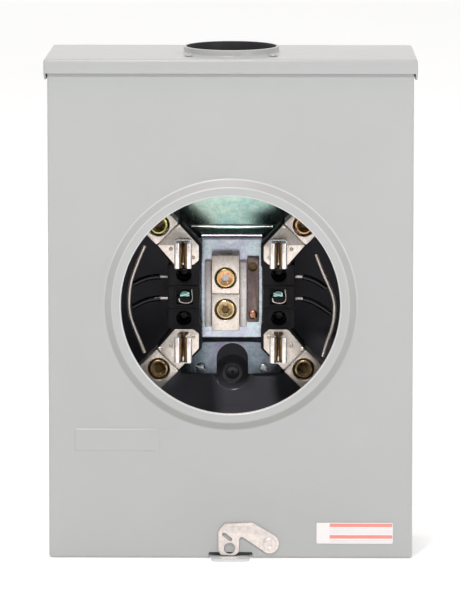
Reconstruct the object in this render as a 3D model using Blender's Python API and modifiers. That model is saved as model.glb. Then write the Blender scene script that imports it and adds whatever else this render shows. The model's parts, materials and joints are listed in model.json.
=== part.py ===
"""Ringless meter socket enclosure, single phase, four jaws.

Metres, +Z up. The wall is the plane y = 0 and the cover faces -Y. The origin is the
middle of the back panel's outer face.
"""
from math import cos, radians, sin

import bmesh
import bpy
from mathutils import Matrix, Vector

MM = 0.001

# ---------------------------------------------------------------- driving dimensions
WIDTH = 279.4 * MM            # across the cover
HEIGHT = 385.8 * MM           # bottom flange to the top of the rain hood
COVER_Y = -105.0 * MM         # front face of the cover
SHEET = 1.5 * MM              # sheet steel of case and cover
GAP = 0.3 * MM                # clearance between touching pieces
FIT = 0.5 * MM                # clearance of the cover over the wrapper

TOP = HEIGHT / 2
BOTTOM = -HEIGHT / 2
COVER_HALF = WIDTH / 2
CASE_HALF = COVER_HALF - SHEET - FIT
CASE_FRONT = COVER_Y + 3.5 * MM
CASE_TOP = TOP - SHEET - GAP
CASE_BOTTOM = BOTTOM + SHEET + GAP

# rain hood
HOOD_FRONT = -108.0 * MM
HOOD_HALF_FRONT = 142.6 * MM
HOOD_HALF_BACK = 139.8 * MM
HOOD_LIP_BOTTOM = TOP - 11.0 * MM
HOOD_SIDE_BOTTOM = TOP - 16.5 * MM
HUB_Y = -58.0 * MM
HUB_INNER = 34.5 * MM
HUB_OUTER = 36.7 * MM
HUB_HEIGHT = 5.5 * MM
HUB_SCREW_X = 32.3 * MM
HUB_SCREW_Y = 27.0 * MM

# cover
SKIRT = 20.0 * MM             # depth of the cover's turned edges
COVER_TOP = TOP - 7.5 * MM    # top edge, tucked behind the hood's lip
SOCKET_Z = 4.0 * MM           # height of the socket's centre
OPENING = 83.8 * MM           # radius of the meter opening
RING_FOOT = 97.2 * MM
RING_CREST_OUT = 90.6 * MM
RING_CREST_IN = 85.6 * MM
RING_HEIGHT = 5.0 * MM
NOTCH_HALF = 17.0 * MM
NOTCH_TOP = BOTTOM + 4.5 * MM

# latch, about its rivet
LATCH_X = 29.9 * MM
LATCH_Z = -181.5 * MM
LATCH_SHEET = 2.0 * MM

# mounting dishes, drawn out of the back panel towards the wall
DISH_HEIGHTS = (-65.0 * MM, 150.0 * MM)
DISH_DEPTH = 5.0 * MM
DISH_MOUTH = 13.4 * MM        # radius at the panel's inner face
DISH_FLOOR = 8.6 * MM

# socket: distances in front of the back panel's outer face
PLATFORM_Y = -29.0 * MM
PLATFORM_HALF = 23.4 * MM
WING_Y = -25.2 * MM            # front of the side wings that carry the blocks
BLOCK_FRONT = -61.7 * MM
PLATE_BACK = -62.0 * MM
PLATE_FRONT = -65.0 * MM
LUG_FRONT = -66.0 * MM
LUG_BACK = -38.0 * MM
JAW_FRONT = -98.0 * MM
JAW_OFFSET = 36.5 * MM
LUG_SCREW_OFFSET = 56.2 * MM
LUG_STEP = 69.3 * MM          # along the diagonal, where the plate meets the lug
LUG_END = 97.0 * MM
LUG_HALF = 12.0 * MM
LUG_BORE = 8.0 * MM
LUG_BORE_Y = -48.5 * MM
BRACKET_HALF = 40.0 * MM
BRACKET_SHEET = 2.0 * MM
FOOT_TOP = 100.0 * MM         # ends of the bracket's feet on the back panel
FOOT_BOTTOM = -65.2 * MM

SIDES = (("left", -1), ("right", 1))
LEVELS = (("upper", 1), ("lower", -1))


# ---------------------------------------------------------------- scene and materials
def empty_scene():
    for old in list(bpy.data.objects):
        bpy.data.objects.remove(old, do_unlink=True)


def new_collection(name):
    collection = bpy.data.collections.new(name)
    bpy.context.scene.collection.children.link(collection)
    return collection


def principled(name, colour, roughness, metallic=0.0):
    material = bpy.data.materials.new(name)
    material.use_nodes = True
    shader = material.node_tree.nodes["Principled BSDF"]
    shader.inputs["Base Color"].default_value = (*colour, 1.0)
    shader.inputs["Roughness"].default_value = roughness
    shader.inputs["Metallic"].default_value = metallic
    return material


empty_scene()
PARTS = new_collection("meter_socket_enclosure")
CUTTERS = new_collection("cutters")

GREY_PAINT = principled("grey_paint", (0.55, 0.57, 0.56), 0.42)
ZINC = principled("zinc_plate", (0.50, 0.56, 0.60), 0.35, 1.0)
TIN = principled("tin_plate", (0.78, 0.74, 0.68), 0.30, 1.0)
BRASS = principled("chromated_brass", (0.62, 0.45, 0.18), 0.30, 1.0)
COPPER = principled("copper", (0.65, 0.33, 0.20), 0.35, 1.0)
STEEL = principled("bare_steel", (0.60, 0.56, 0.53), 0.28, 1.0)
NICKEL = principled("nickel_plate", (0.80, 0.75, 0.72), 0.30, 1.0)
BLACK = principled("black_phenolic", (0.012, 0.012, 0.014), 0.35)
RUBBER = principled("black_sleeve", (0.01, 0.01, 0.01), 0.30)
PAPER = principled("label_stock", (0.86, 0.50, 0.45), 0.55)


# ---------------------------------------------------------------- shape helpers
def add_object(name, mesh, material=None, cutter=False):
    """Link a mesh as a node, or as a cutter that stays out of the model."""
    obj = bpy.data.objects.new(name, mesh)
    if cutter:
        CUTTERS.objects.link(obj)
        obj.hide_render = True
        obj.display_type = "WIRE"
    else:
        PARTS.objects.link(obj)
        mesh.materials.append(material)
    return obj


def mesh_from(bm, name, smooth=False):
    bmesh.ops.recalc_face_normals(bm, faces=bm.faces)
    mesh = bpy.data.meshes.new(name)
    bm.to_mesh(mesh)
    bm.free()
    if smooth:
        mesh.shade_smooth()
        mesh.set_sharp_from_angle(angle=radians(35))
    return mesh


def box(name, low, high, material=None, cutter=False):
    """Axis-aligned block between two corners, with its origin at its middle."""
    low = Vector(low)
    high = Vector(high)
    bm = bmesh.new()
    bmesh.ops.create_cube(bm, size=1.0)
    bmesh.ops.scale(bm, vec=high - low, verts=bm.verts)
    obj = add_object(name, mesh_from(bm, name), material, cutter)
    obj.location = (low + high) / 2
    return obj


AXIS_TURNS = {
    "x": Matrix.Rotation(radians(90), 4, "Y"),
    "y": Matrix.Rotation(radians(-90), 4, "X"),
    "z": Matrix.Identity(4),
}


def rod(name, start, length, radius, axis="y", material=None, cutter=False, end_radius=None,
        sides=18):
    """Round bar or cone from a start point, running along +axis."""
    end_radius = radius if end_radius is None else end_radius
    turn = axis if isinstance(axis, Matrix) else AXIS_TURNS[axis]
    bm = bmesh.new()
    bmesh.ops.create_cone(bm, cap_ends=True, segments=sides, radius1=radius,
                          radius2=end_radius, depth=length)
    bmesh.ops.translate(bm, vec=(0, 0, length / 2), verts=bm.verts)
    bmesh.ops.transform(bm, matrix=turn, verts=bm.verts)
    obj = add_object(name, mesh_from(bm, name, smooth=True), material, cutter)
    obj.location = start
    return obj


# Local XY of a flat outline laid on world planes; its thickness runs along local Z.
ON_FRONT = Matrix.Rotation(radians(90), 4, "X")
ON_SIDE = Matrix(((0, 0, 1, 0), (1, 0, 0, 0), (0, 1, 0, 0), (0, 0, 0, 1)))
ON_TOP = Matrix.Identity(4)


def mesh_of_curve(curve_obj, name):
    """A curve's evaluated shape as a closed mesh, with its caps welded on."""
    bpy.context.view_layer.update()
    graph = bpy.context.evaluated_depsgraph_get()
    mesh = bpy.data.meshes.new_from_object(curve_obj.evaluated_get(graph))
    bm = bmesh.new()
    bm.from_mesh(mesh)
    bmesh.ops.remove_doubles(bm, verts=bm.verts, dist=1e-6)
    bmesh.ops.recalc_face_normals(bm, faces=bm.faces)
    bm.to_mesh(mesh)
    bm.free()
    mesh.name = name
    return mesh


def plate(name, points, middle, thickness, plane=ON_FRONT, material=None, cutter=False):
    """A flat outline with a thickness. On the front its points are (x, z), on the side
    (y, z) and on top (x, y); middle is the plate's mid-plane on the third axis."""
    curve = bpy.data.curves.new(name, "CURVE")
    curve.dimensions = "2D"
    curve.fill_mode = "BOTH"
    curve.extrude = thickness / 2
    spline = curve.splines.new("POLY")
    spline.points.add(len(points) - 1)
    for point, (u, v) in zip(spline.points, points):
        point.co = (u, v, 0, 1)
    spline.use_cyclic_u = True
    drawn = bpy.data.objects.new(name + "_outline", curve)
    PARTS.objects.link(drawn)
    normal = plane.to_3x3() @ Vector((0, 0, 1))
    sign = -1 if plane is ON_FRONT else 1
    drawn.matrix_world = Matrix.Translation(normal * middle * sign) @ plane
    obj = add_object(name, mesh_of_curve(drawn, name), material, cutter)
    obj.matrix_world = drawn.matrix_world
    bpy.data.objects.remove(drawn, do_unlink=True)
    return obj


def wire(name, points, radius, material, steps=5):
    """Round bar along a smooth path through hand-set points."""
    smooth = spline_through([Vector(p) for p in points], steps)
    curve = bpy.data.curves.new(name, "CURVE")
    curve.dimensions = "3D"
    curve.bevel_depth = radius
    curve.bevel_resolution = 2
    curve.use_fill_caps = True
    spline = curve.splines.new("POLY")
    spline.points.add(len(smooth) - 1)
    for point, place in zip(spline.points, smooth):
        point.co = (*place, 1)
    drawn = bpy.data.objects.new(name + "_path", curve)
    PARTS.objects.link(drawn)
    mesh = mesh_of_curve(drawn, name)
    bpy.data.objects.remove(drawn, do_unlink=True)
    mesh.shade_smooth()
    mesh.set_sharp_from_angle(angle=radians(50))
    return add_object(name, mesh, material)


def spline_through(points, steps):
    """Catmull-Rom points through the given ones."""
    ends = [2 * points[0] - points[1], *points, 2 * points[-1] - points[-2]]
    found = []
    for a, b, c, d in zip(ends, ends[1:], ends[2:], ends[3:]):
        for step in range(steps):
            t = step / steps
            found.append(0.5 * (2 * b + (c - a) * t + (2 * a - 5 * b + 4 * c - d) * t ** 2
                                + (3 * b - a - 3 * c + d) * t ** 3))
    return found + [points[-1]]


def turned(name, profile, place, axis="y", material=None, cutter=False, sides=48):
    """A turned ring. Profile points are (radius, height); the loop runs down its outer
    side, and height is measured along the axis."""
    bm = bmesh.new()
    verts = [bm.verts.new((r, 0, h)) for r, h in profile]
    for first, second in zip(verts, verts[1:] + verts[:1]):
        bm.edges.new((first, second))
    mesh = bpy.data.meshes.new(name)
    bm.to_mesh(mesh)
    bm.free()
    obj = add_object(name, mesh, material, cutter)
    obj.matrix_world = Matrix.Translation(place) @ AXIS_TURNS[axis]
    screw = obj.modifiers.new("turn", "SCREW")
    screw.steps = sides
    screw.render_steps = sides
    screw.use_merge_vertices = True
    screw.merge_threshold = 0.00001
    screw.use_smooth_shade = False
    return obj


def boolean(obj, other, operation):
    modifier = obj.modifiers.new(operation.lower(), "BOOLEAN")
    modifier.operation = operation
    modifier.solver = "EXACT"
    modifier.object = other
    return obj


def cut(obj, *cutters):
    for other in cutters:
        boolean(obj, other, "DIFFERENCE")
    return obj


def join(obj, *others):
    for other in others:
        boolean(obj, other, "UNION")
    return obj


def arc(centre, radius, start, end, steps):
    """Points of an arc, its angles in degrees."""
    angles = [radians(start + (end - start) * i / steps) for i in range(steps + 1)]
    return [(centre[0] + radius * cos(a), centre[1] + radius * sin(a)) for a in angles]


def mirrored(points, sign_x, sign_z):
    return [(x * sign_x, z * sign_z) for x, z in points]


def shifted(points, dx, dz):
    return [(x + dx, z + dz) for x, z in points]


# ---------------------------------------------------------------- case
KNOCKOUTS = (
    ("back_knockout", "back", (0.0, -124.5 * MM), 33.0 * MM),
    ("bottom_knockout_center", "bottom", (0.0, -50.0 * MM), 31.0 * MM),
    ("bottom_knockout_left", "bottom", (-88.0 * MM, -45.0 * MM), 14.0 * MM),
    ("bottom_knockout_right", "bottom", (88.0 * MM, -45.0 * MM), 14.0 * MM),
    ("side_knockout_left", "left", (-45.0 * MM, -140.0 * MM), 14.0 * MM),
    ("side_knockout_right", "right", (-45.0 * MM, -140.0 * MM), 14.0 * MM),
)
BRACKET_SCREWS = ((-24.7, -60.5), (24.7, -60.5), (-24.7, 78.0), (24.7, 78.0))


def knockout_rod(name, wall, place, radius, extra, **kind):
    """A disc in one of the walls; extra makes it longer both ways, for a cutter."""
    u, v = place
    length = SHEET + 2 * extra
    if wall == "back":
        return rod(name, (u, -SHEET - extra, v), length, radius, "y", sides=36, **kind)
    if wall == "bottom":
        return rod(name, (u, v, CASE_BOTTOM - extra), length, radius, "z", sides=24, **kind)
    outer = CASE_HALF if wall == "right" else -CASE_HALF + SHEET
    return rod(name, (outer - SHEET - extra, u, v), length, radius, "x", sides=24, **kind)


def make_back_and_sides():
    """The wrapper: back panel and side walls of one bent sheet."""
    half = CASE_HALF
    inner = half - SHEET
    path = [(-half, CASE_FRONT), (-inner, CASE_FRONT), (-inner, -SHEET), (inner, -SHEET),
            (inner, CASE_FRONT), (half, CASE_FRONT), (half, 0), (-half, 0)]
    middle = (CASE_TOP + CASE_BOTTOM) / 2
    case = plate("back_and_sides", path, middle, CASE_TOP - CASE_BOTTOM, ON_TOP, GREY_PAINT)
    for z in DISH_HEIGHTS:
        draw_mounting_dish(case, z)
    for x, z in BRACKET_SCREWS:
        cut(case, rod("wall_screw_hole", (x * MM, -4 * MM, z * MM), 8 * MM, 2.4 * MM,
                      cutter=True, sides=12))
    for name, wall, place, radius in KNOCKOUTS:
        if wall != "bottom":
            cut(case, knockout_rod(name + "_hole", wall, place, radius + GAP, 2 * MM,
                                   cutter=True))
    return case


def draw_mounting_dish(case, z):
    """A round dish drawn backwards, whose floor rests on the wall; a centre mark is in it."""
    slope = (DISH_MOUTH - DISH_FLOOR) / DISH_DEPTH
    start = -0.5 * MM
    outside = rod("dish_outside", (0, start, z), DISH_DEPTH - start,
                  DISH_MOUTH + 0.8 * MM - slope * start, cutter=True,
                  end_radius=DISH_FLOOR + 0.8 * MM, sides=28)
    front = -SHEET - 1 * MM
    floor = DISH_DEPTH - SHEET
    inside = rod("dish_inside", (0, front, z), floor - front, DISH_MOUTH + slope * 1 * MM,
                 cutter=True, end_radius=DISH_FLOOR, sides=28)
    mark = rod("centre_mark", (0, floor - 0.5 * MM, z), 1.3 * MM, 2.2 * MM, cutter=True,
               end_radius=0.3 * MM, sides=12)
    join(case, outside)
    cut(case, inside, mark)


def make_knockouts():
    for name, wall, place, radius in KNOCKOUTS:
        knockout_rod(name, wall, place, radius, 0.0, material=GREY_PAINT)


def make_bottom_wall():
    """Shallow pan inside the wrapper's lower end, its edges turned up."""
    inner = CASE_HALF - SHEET - GAP
    back = -SHEET - GAP
    flange = 12 * MM
    wall = box("bottom_wall", (-inner, CASE_FRONT, CASE_BOTTOM),
               (inner, back, CASE_BOTTOM + flange), GREY_PAINT)
    cut(wall, box("bottom_wall_inside",
                  (-inner + SHEET, CASE_FRONT - 5 * MM, CASE_BOTTOM + SHEET),
                  (inner - SHEET, back - SHEET, CASE_BOTTOM + 2 * flange), cutter=True))
    for name, side, place, radius in KNOCKOUTS:
        if side == "bottom":
            cut(wall, knockout_rod(name + "_hole", side, place, radius + GAP, 2 * MM,
                                   cutter=True))
    return wall


def make_padlock_tab():
    """Strap under the bottom wall that reaches out through the cover's notch."""
    half = 14.8 * MM
    front = -120.0 * MM
    corner = 5 * MM
    points = [(half, -86 * MM), *arc((half - corner, front + corner), corner, 0, -90, 5),
              *arc((-half + corner, front + corner), corner, -90, -180, 5), (-half, -86 * MM)]
    tab = plate("padlock_tab", points, BOTTOM + SHEET / 2, SHEET, ON_TOP, GREY_PAINT)
    slot = [*arc((-4 * MM, -113.6 * MM), 3.2 * MM, 90, 270, 8),
            *arc((4 * MM, -113.6 * MM), 3.2 * MM, -90, 90, 8)]
    return cut(tab, plate("tab_slot", slot, BOTTOM, 8 * MM, ON_TOP, cutter=True))


def hood_plan(inset):
    """Plan of the hood: wider in front, with its front corners cut."""
    front = HOOD_HALF_FRONT - inset
    back = HOOD_HALF_BACK - inset
    y_front = HOOD_FRONT + inset
    corner = 2.5 * MM
    y_back = 0 if inset == 0 else 5 * MM
    return [(-front, y_front + corner), (-front + corner, y_front), (front - corner, y_front),
            (front, y_front + corner), (back, y_back), (-back, y_back)]


def make_top_cap():
    """Rain hood: top panel with a front lip, hanging sides and the hub's collar."""
    low = HOOD_SIDE_BOTTOM
    cap = plate("top_cap", hood_plan(0), (low + TOP) / 2, TOP - low, ON_TOP, GREY_PAINT)
    inside_top = TOP - SHEET
    inside_low = low - 5 * MM
    cut(cap, plate("hood_inside", hood_plan(SHEET), (inside_top + inside_low) / 2,
                   inside_top - inside_low, ON_TOP, cutter=True))
    under_lip = [(HOOD_FRONT - 5 * MM, HOOD_LIP_BOTTOM), (HOOD_FRONT + 2 * MM, HOOD_LIP_BOTTOM),
                 (HOOD_FRONT + 10 * MM, low), (HOOD_FRONT + 10 * MM, low - 5 * MM),
                 (HOOD_FRONT - 5 * MM, low - 5 * MM)]
    cut(cap, plate("lip_relief", under_lip, 0, 300 * MM, ON_SIDE, cutter=True))
    cut(cap, rod("hub_opening", (0, HUB_Y, TOP - 10 * MM), 25 * MM, HUB_INNER + 1 * MM, "z",
                 cutter=True, sides=40))
    collar = [(HUB_OUTER, HUB_HEIGHT), (HUB_OUTER, -1.0 * MM), (HUB_INNER, -1.0 * MM),
              (HUB_INNER, HUB_HEIGHT)]
    join(cap, turned("hub_collar", collar, (0, HUB_Y, TOP), "z", cutter=True))
    for x, y in hub_screw_places():
        cut(cap, rod("hub_screw_hole", (x, y, TOP - 5 * MM), 10 * MM, 2.0 * MM, "z",
                     cutter=True, sides=12))
    return cap


def hub_screw_places():
    return [(x * HUB_SCREW_X, HUB_Y + y * HUB_SCREW_Y) for y in (-1, 1) for x in (-1, 1)]


def make_hub_screws():
    """Domed screws round the collar, threaded through the top panel."""
    for index, (x, y) in enumerate(hub_screw_places(), 1):
        screw = rod(f"hub_screw_{index}", (x, y, TOP + GAP), 1.9 * MM, 3.2 * MM, "z", ZINC,
                    end_radius=2.0 * MM)
        shank = rod("hub_screw_shank", (x, y, TOP - 7 * MM), 8 * MM, 1.7 * MM, "z",
                    cutter=True, sides=12)
        join(screw, shank)


# ---------------------------------------------------------------- cover
def make_cover():
    """Pan with a raised ring round the meter opening."""
    cover = box("front_cover", (-COVER_HALF, COVER_Y, BOTTOM),
                (COVER_HALF, COVER_Y + SKIRT, COVER_TOP), GREY_PAINT)
    cut(cover, box("cover_inside", (-COVER_HALF + SHEET, COVER_Y + SHEET, BOTTOM + SHEET),
                   (COVER_HALF - SHEET, COVER_Y + 2 * SKIRT, COVER_TOP + 10 * MM),
                   cutter=True))
    centre = (0, COVER_Y, SOCKET_Z)
    cut(cover, rod("ring_clearance", (0, COVER_Y - 5 * MM, SOCKET_Z), 12 * MM,
                   RING_FOOT - 2.0 * MM, cutter=True, sides=64))
    join(cover, turned("meter_ring", ring_profile(), centre, "y", cutter=True, sides=64))
    pad = box("blank_pad", (-120 * MM, COVER_Y - 0.8 * MM, -110 * MM),
              (-54 * MM, COVER_Y + 0.7 * MM, -92 * MM), cutter=True)
    join(cover, pad)
    notch = box("tab_notch", (-NOTCH_HALF, COVER_Y - 5 * MM, BOTTOM - 5 * MM),
                (NOTCH_HALF, COVER_Y + 2 * SKIRT, NOTCH_TOP), cutter=True)
    rivet_hole = rod("rivet_hole", (LATCH_X, COVER_Y - 5 * MM, LATCH_Z), 10 * MM, 3.0 * MM,
                     cutter=True)
    return cut(cover, notch, rivet_hole)


def ring_profile():
    """Section of the raised ring; heights run into the case from the cover's face."""
    rise = RING_HEIGHT
    outside = [(RING_FOOT + 0.3 * MM, 0.3 * MM), (RING_CREST_OUT, -rise),
               (RING_CREST_IN, -rise), (84.3 * MM, -4.6 * MM), (OPENING, -3.8 * MM),
               (OPENING, -1.2 * MM)]
    inside = [(OPENING + SHEET, -1.2 * MM), (OPENING + SHEET, -3.1 * MM),
              (RING_CREST_IN + 0.3 * MM, SHEET - rise), (RING_CREST_OUT - 0.6 * MM, SHEET - rise),
              (RING_FOOT - 1.6 * MM, 1.2 * MM)]
    return [*outside, *inside]


def make_rating_label():
    front = COVER_Y - GAP
    return box("rating_label", (66.1 * MM, front - 0.3 * MM, -181.5 * MM),
               (124.8 * MM, front, -165.1 * MM), PAPER)


LATCH_OUTLINE = [
    (-34.6, 15.5), (-39.2, 9.6), (-39.2, -5.2), (-37.4, -8.9), (-26.4, -9.0), (-23.4, -6.5),
    (-23.1, 4.2), (-21.7, 5.5), (-19.6, 4.7), (-5.6, -4.9),
]
LATCH_TOP_EDGE = [(5.1, 5.8), (-13.1, 16.5)]


def make_latch():
    """Flat hasp on its rivet, with a padlock hole and a seal slot."""
    points = [(x * MM, z * MM) for x, z in LATCH_OUTLINE]
    points += arc((0, 0), 7.4 * MM, -125, 35, 10)
    points += [(x * MM, z * MM) for x, z in LATCH_TOP_EDGE]
    back = COVER_Y - GAP
    middle = back - LATCH_SHEET / 2
    latch = plate("latch", shifted(points, LATCH_X, LATCH_Z), middle, LATCH_SHEET,
                  material=NICKEL)
    move_origin(latch, (LATCH_X, middle, LATCH_Z))
    x, z = LATCH_X - 30.7 * MM, LATCH_Z - 3.6 * MM
    cut(latch, rod("padlock_hole", (x, back - 6 * MM, z), 10 * MM, 4.3 * MM, cutter=True))
    cut(latch, rod("latch_pivot_hole", (LATCH_X, back - 6 * MM, LATCH_Z), 10 * MM, 3.0 * MM,
                   cutter=True))
    x, z = LATCH_X - 32.5 * MM, LATCH_Z + 5.4 * MM
    slot = [*arc((-3 * MM, 0), 1.5 * MM, 90, 270, 6), *arc((3 * MM, 0), 1.5 * MM, -90, 90, 6)]
    tilt = radians(-38)
    turned_slot = [(u * cos(tilt) - v * sin(tilt) + x, u * sin(tilt) + v * cos(tilt) + z)
                   for u, v in slot]
    return cut(latch, plate("seal_slot", turned_slot, middle, 10 * MM, cutter=True))


def move_origin(obj, place):
    """Put an object's origin on its joint without moving its shape."""
    offset = obj.matrix_world.inverted() @ Vector(place)
    obj.data.transform(Matrix.Translation(-offset))
    obj.matrix_world = obj.matrix_world @ Matrix.Translation(offset)


def make_latch_rivet():
    front = COVER_Y - 2 * GAP - LATCH_SHEET
    rivet = rod("latch_rivet", (LATCH_X, front - 1.4 * MM, LATCH_Z), 1.4 * MM, 3.4 * MM,
                material=NICKEL, end_radius=5.1 * MM)
    shank = rod("rivet_shank", (LATCH_X, front - 0.4 * MM, LATCH_Z), 5.4 * MM, 2.7 * MM,
                cutter=True)
    tail = rod("rivet_tail", (LATCH_X, COVER_Y + SHEET + GAP, LATCH_Z), 1.2 * MM, 4.5 * MM,
               cutter=True)
    return join(rivet, shank, tail)


# ---------------------------------------------------------------- socket
def make_support_bracket():
    """Hat bracket: feet on the back panel, a raised platform, and wings for the blocks."""
    foot = -SHEET - GAP
    t = BRACKET_SHEET
    top, bottom = 48.2 * MM, -35.7 * MM
    bend = 2.5 * MM
    spread = 2.5 * MM
    path = [(foot, FOOT_TOP), (foot - t, FOOT_TOP), (foot - t, top + spread),
            (PLATFORM_Y + bend, top), (PLATFORM_Y, top - bend), (PLATFORM_Y, bottom + bend),
            (PLATFORM_Y + bend, bottom), (foot - t, bottom - spread), (foot - t, FOOT_BOTTOM),
            (foot, FOOT_BOTTOM), (foot, bottom - spread + t), (PLATFORM_Y + t, bottom + t),
            (PLATFORM_Y + t, top - t), (foot, top + spread - t)]
    bracket = plate("support_bracket", path, 0, 2 * BRACKET_HALF, ON_SIDE, ZINC)
    for _, sign in SIDES:
        beside = [(PLATFORM_HALF, -45 * MM), (PLATFORM_HALF, PLATFORM_Y + 2 * MM),
                  (32 * MM, foot - t - 0.5 * MM), (60 * MM, foot - t - 0.5 * MM),
                  (60 * MM, -45 * MM)]
        cut(bracket, plate("beside_platform", [(sign * x, y) for x, y in beside], 0,
                           140 * MM, ON_TOP, cutter=True))
        side = sorted((sign * (PLATFORM_HALF - 2 * MM), sign * (PLATFORM_HALF - 0.1 * MM)))
        wing = sorted((sign * (PLATFORM_HALF - 1 * MM), sign * BRACKET_HALF))
        join(bracket, box("platform_side", (side[0], PLATFORM_Y + 0.5 * MM, SOCKET_Z - 24 * MM),
                          (side[1], WING_Y + 2.3 * MM, SOCKET_Z + 24 * MM), cutter=True))
        join(bracket, box("wing", (wing[0], WING_Y, SOCKET_Z - 23 * MM),
                          (wing[1], WING_Y + t, SOCKET_Z + 23 * MM), cutter=True))
    notch = [*arc((0, -53.3 * MM), 12.3 * MM, 0, 180, 16), (-12.3 * MM, -80 * MM),
             (12.3 * MM, -80 * MM)]
    cut(bracket, plate("bracket_notch", notch, foot, 10 * MM, cutter=True))
    for x, z in BRACKET_SCREWS:
        cut(bracket, rod("bracket_screw_hole", (x * MM, -8 * MM, z * MM), 8 * MM, 2.4 * MM,
                         cutter=True, sides=12))
    for x, z in block_screw_places():
        cut(bracket, rod("wing_hole", (x, WING_Y - 4 * MM, z), 8 * MM, 2.4 * MM,
                         cutter=True, sides=12))
    return bracket


def slotted_screw(name, place, radius, shank_radius, shank_length, material, head=2.2 * MM,
                  turn=0.0):
    """Pan-head screw: place is the middle of the seat, and the shank runs to +Y."""
    x, y, z = place
    screw = rod(name, (x, y - head, z), head, radius * 0.86, "y", material,
                end_radius=radius)
    join(screw, rod("shank", (x, y - 0.5 * MM, z), shank_length + 0.5 * MM, shank_radius,
                    cutter=True, sides=12))
    slot = box("slot", (-2 * radius, -1, -0.45 * MM), (2 * radius, 1, 0.45 * MM), cutter=True)
    slot.data.transform(Matrix.Diagonal((1, 0.001, 1, 1)))
    slot.rotation_euler = (0, turn, 0)
    slot.location = (x, y - head, z)
    return cut(screw, slot)


def make_bracket_screws():
    seat = -SHEET - 2 * GAP - BRACKET_SHEET
    for index, (x, z) in enumerate(BRACKET_SCREWS, 1):
        slotted_screw(f"bracket_screw_{index}", (x * MM, seat, z * MM), 3.8 * MM, 2.0 * MM,
                      3.8 * MM, ZINC, turn=radians(25 * index))


def block_screw_places():
    return [(x * 36.7 * MM, SOCKET_Z + z * 17.2 * MM) for x in (-1, 1) for z in (-1, 1)]


def make_insulator_block(side, sign):
    """Moulded block with arms under the terminals and deep screw wells."""
    inner, outer = 24.4 * MM, 49.0 * MM
    low_x, high_x = sorted((sign * inner, sign * outer))
    back = WING_Y - GAP
    half = 25 * MM
    block = box(f"insulator_block_{side}", (low_x, BLOCK_FRONT + 0.7 * MM, SOCKET_Z - half),
                (high_x, back, SOCKET_Z + half), BLACK)
    arm = [(26, 18), (40, 18), (57.2, 38.9), (41, 55.4), (38.6, 56.6), (22.8, 40.6), (22.8, 24)]
    for _, level in LEVELS:
        points = mirrored([(x * MM, z * MM) for x, z in arm], sign, level)
        join(block, plate("block_arm", shifted(points, 0, SOCKET_Z), BLOCK_FRONT + 11.7 * MM,
                          22.6 * MM, cutter=True))
        ridge_z = SOCKET_Z + (7.8 * MM if level > 0 else -10.3 * MM)
        join(block, box("block_ridge", (low_x + 0.5 * MM, BLOCK_FRONT - 0.8 * MM,
                                        ridge_z - 0.7 * MM),
                        (high_x - 0.5 * MM, BLOCK_FRONT + 2 * MM, ridge_z + 0.7 * MM),
                        cutter=True))
        well = (sign * 36.7 * MM, BLOCK_FRONT - 5 * MM, SOCKET_Z + level * 17.2 * MM)
        cut(block, rod("screw_well", well, 25 * MM, 5.9 * MM, cutter=True))
        cut(block, rod("block_screw_hole", well, 45 * MM, 2.5 * MM, cutter=True, sides=12))
    window_x = sorted((sign * 29.5 * MM, sign * 42.7 * MM))
    cut(block, box("block_window", (window_x[0], BLOCK_FRONT - 5 * MM, SOCKET_Z - 6.4 * MM),
                   (window_x[1], BLOCK_FRONT + 7 * MM, SOCKET_Z + 6.2 * MM), cutter=True))
    return block


def make_block_screws():
    names = ("lower_left", "upper_left", "lower_right", "upper_right")
    for name, (x, z) in zip(names, block_screw_places()):
        slotted_screw(f"block_screw_{name}", (x, BLOCK_FRONT + 20 * MM - GAP, z), 4.6 * MM,
                      2.1 * MM, 18 * MM, ZINC)


def make_tap_screws():
    for side, sign in SIDES:
        place = (sign * 36.1 * MM, BLOCK_FRONT + 7 * MM - GAP, SOCKET_Z)
        screw = rod(f"tap_screw_{side}", (place[0], place[1] - 3 * MM, place[2]), 3 * MM,
                    4.0 * MM, material=ZINC)
        cut(screw, box("tap_slot", (place[0] - 6 * MM, place[1] - 4 * MM, place[2] - 0.5 * MM),
                       (place[0] + 6 * MM, place[1] - 1.8 * MM, place[2] + 0.5 * MM),
                       cutter=True))


def make_terminal(side, sign, level_name, level):
    """Plated plate with a lug block on its outer end, set along the diagonal."""
    reach = (LUG_STEP + 4 * MM) / 2 ** 0.5
    wide = LUG_HALF / 2 ** 0.5 * 0.96
    plate_points = [(43.7 * MM, 25.2 * MM), (29 * MM, 25.2 * MM), (25 * MM, 28.7 * MM),
                    (25 * MM, 40 * MM), (reach - wide, reach + wide),
                    (reach + wide, reach - wide)]
    name = f"terminal_{level_name}_{side}"
    points = shifted(mirrored(plate_points, sign, level), 0, SOCKET_Z)
    terminal = plate(name, points, (PLATE_FRONT + PLATE_BACK) / 2, PLATE_BACK - PLATE_FRONT,
                     material=TIN)
    corners = [(LUG_STEP, -LUG_HALF), (LUG_END, -LUG_HALF), (LUG_END, LUG_HALF),
               (LUG_STEP, LUG_HALF)]
    diagonal = 2 ** -0.5
    lug = [((s - t) * diagonal, (s + t) * diagonal) for s, t in corners]
    lug = shifted(mirrored(lug, sign, level), 0, SOCKET_Z)
    join(terminal, plate("lug_block", lug, (LUG_FRONT + LUG_BACK) / 2, LUG_BACK - LUG_FRONT,
                         cutter=True))
    direction = Vector((sign, 0, level)).normalized()
    turn = Vector((0, 0, 1)).rotation_difference(direction).to_matrix().to_4x4()
    start = Vector((0, LUG_BORE_Y, SOCKET_Z)) + direction * (LUG_STEP + 2 * MM)
    cut(terminal, rod("wire_bore", start, 40 * MM, LUG_BORE, turn, cutter=True))
    x, z = sign * LUG_SCREW_OFFSET, SOCKET_Z + level * LUG_SCREW_OFFSET
    cut(terminal, rod("set_screw_hole", (x, LUG_FRONT - 5 * MM, z),
                      LUG_BORE_Y - LUG_FRONT + 5 * MM, 8.2 * MM, cutter=True))
    return terminal


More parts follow.
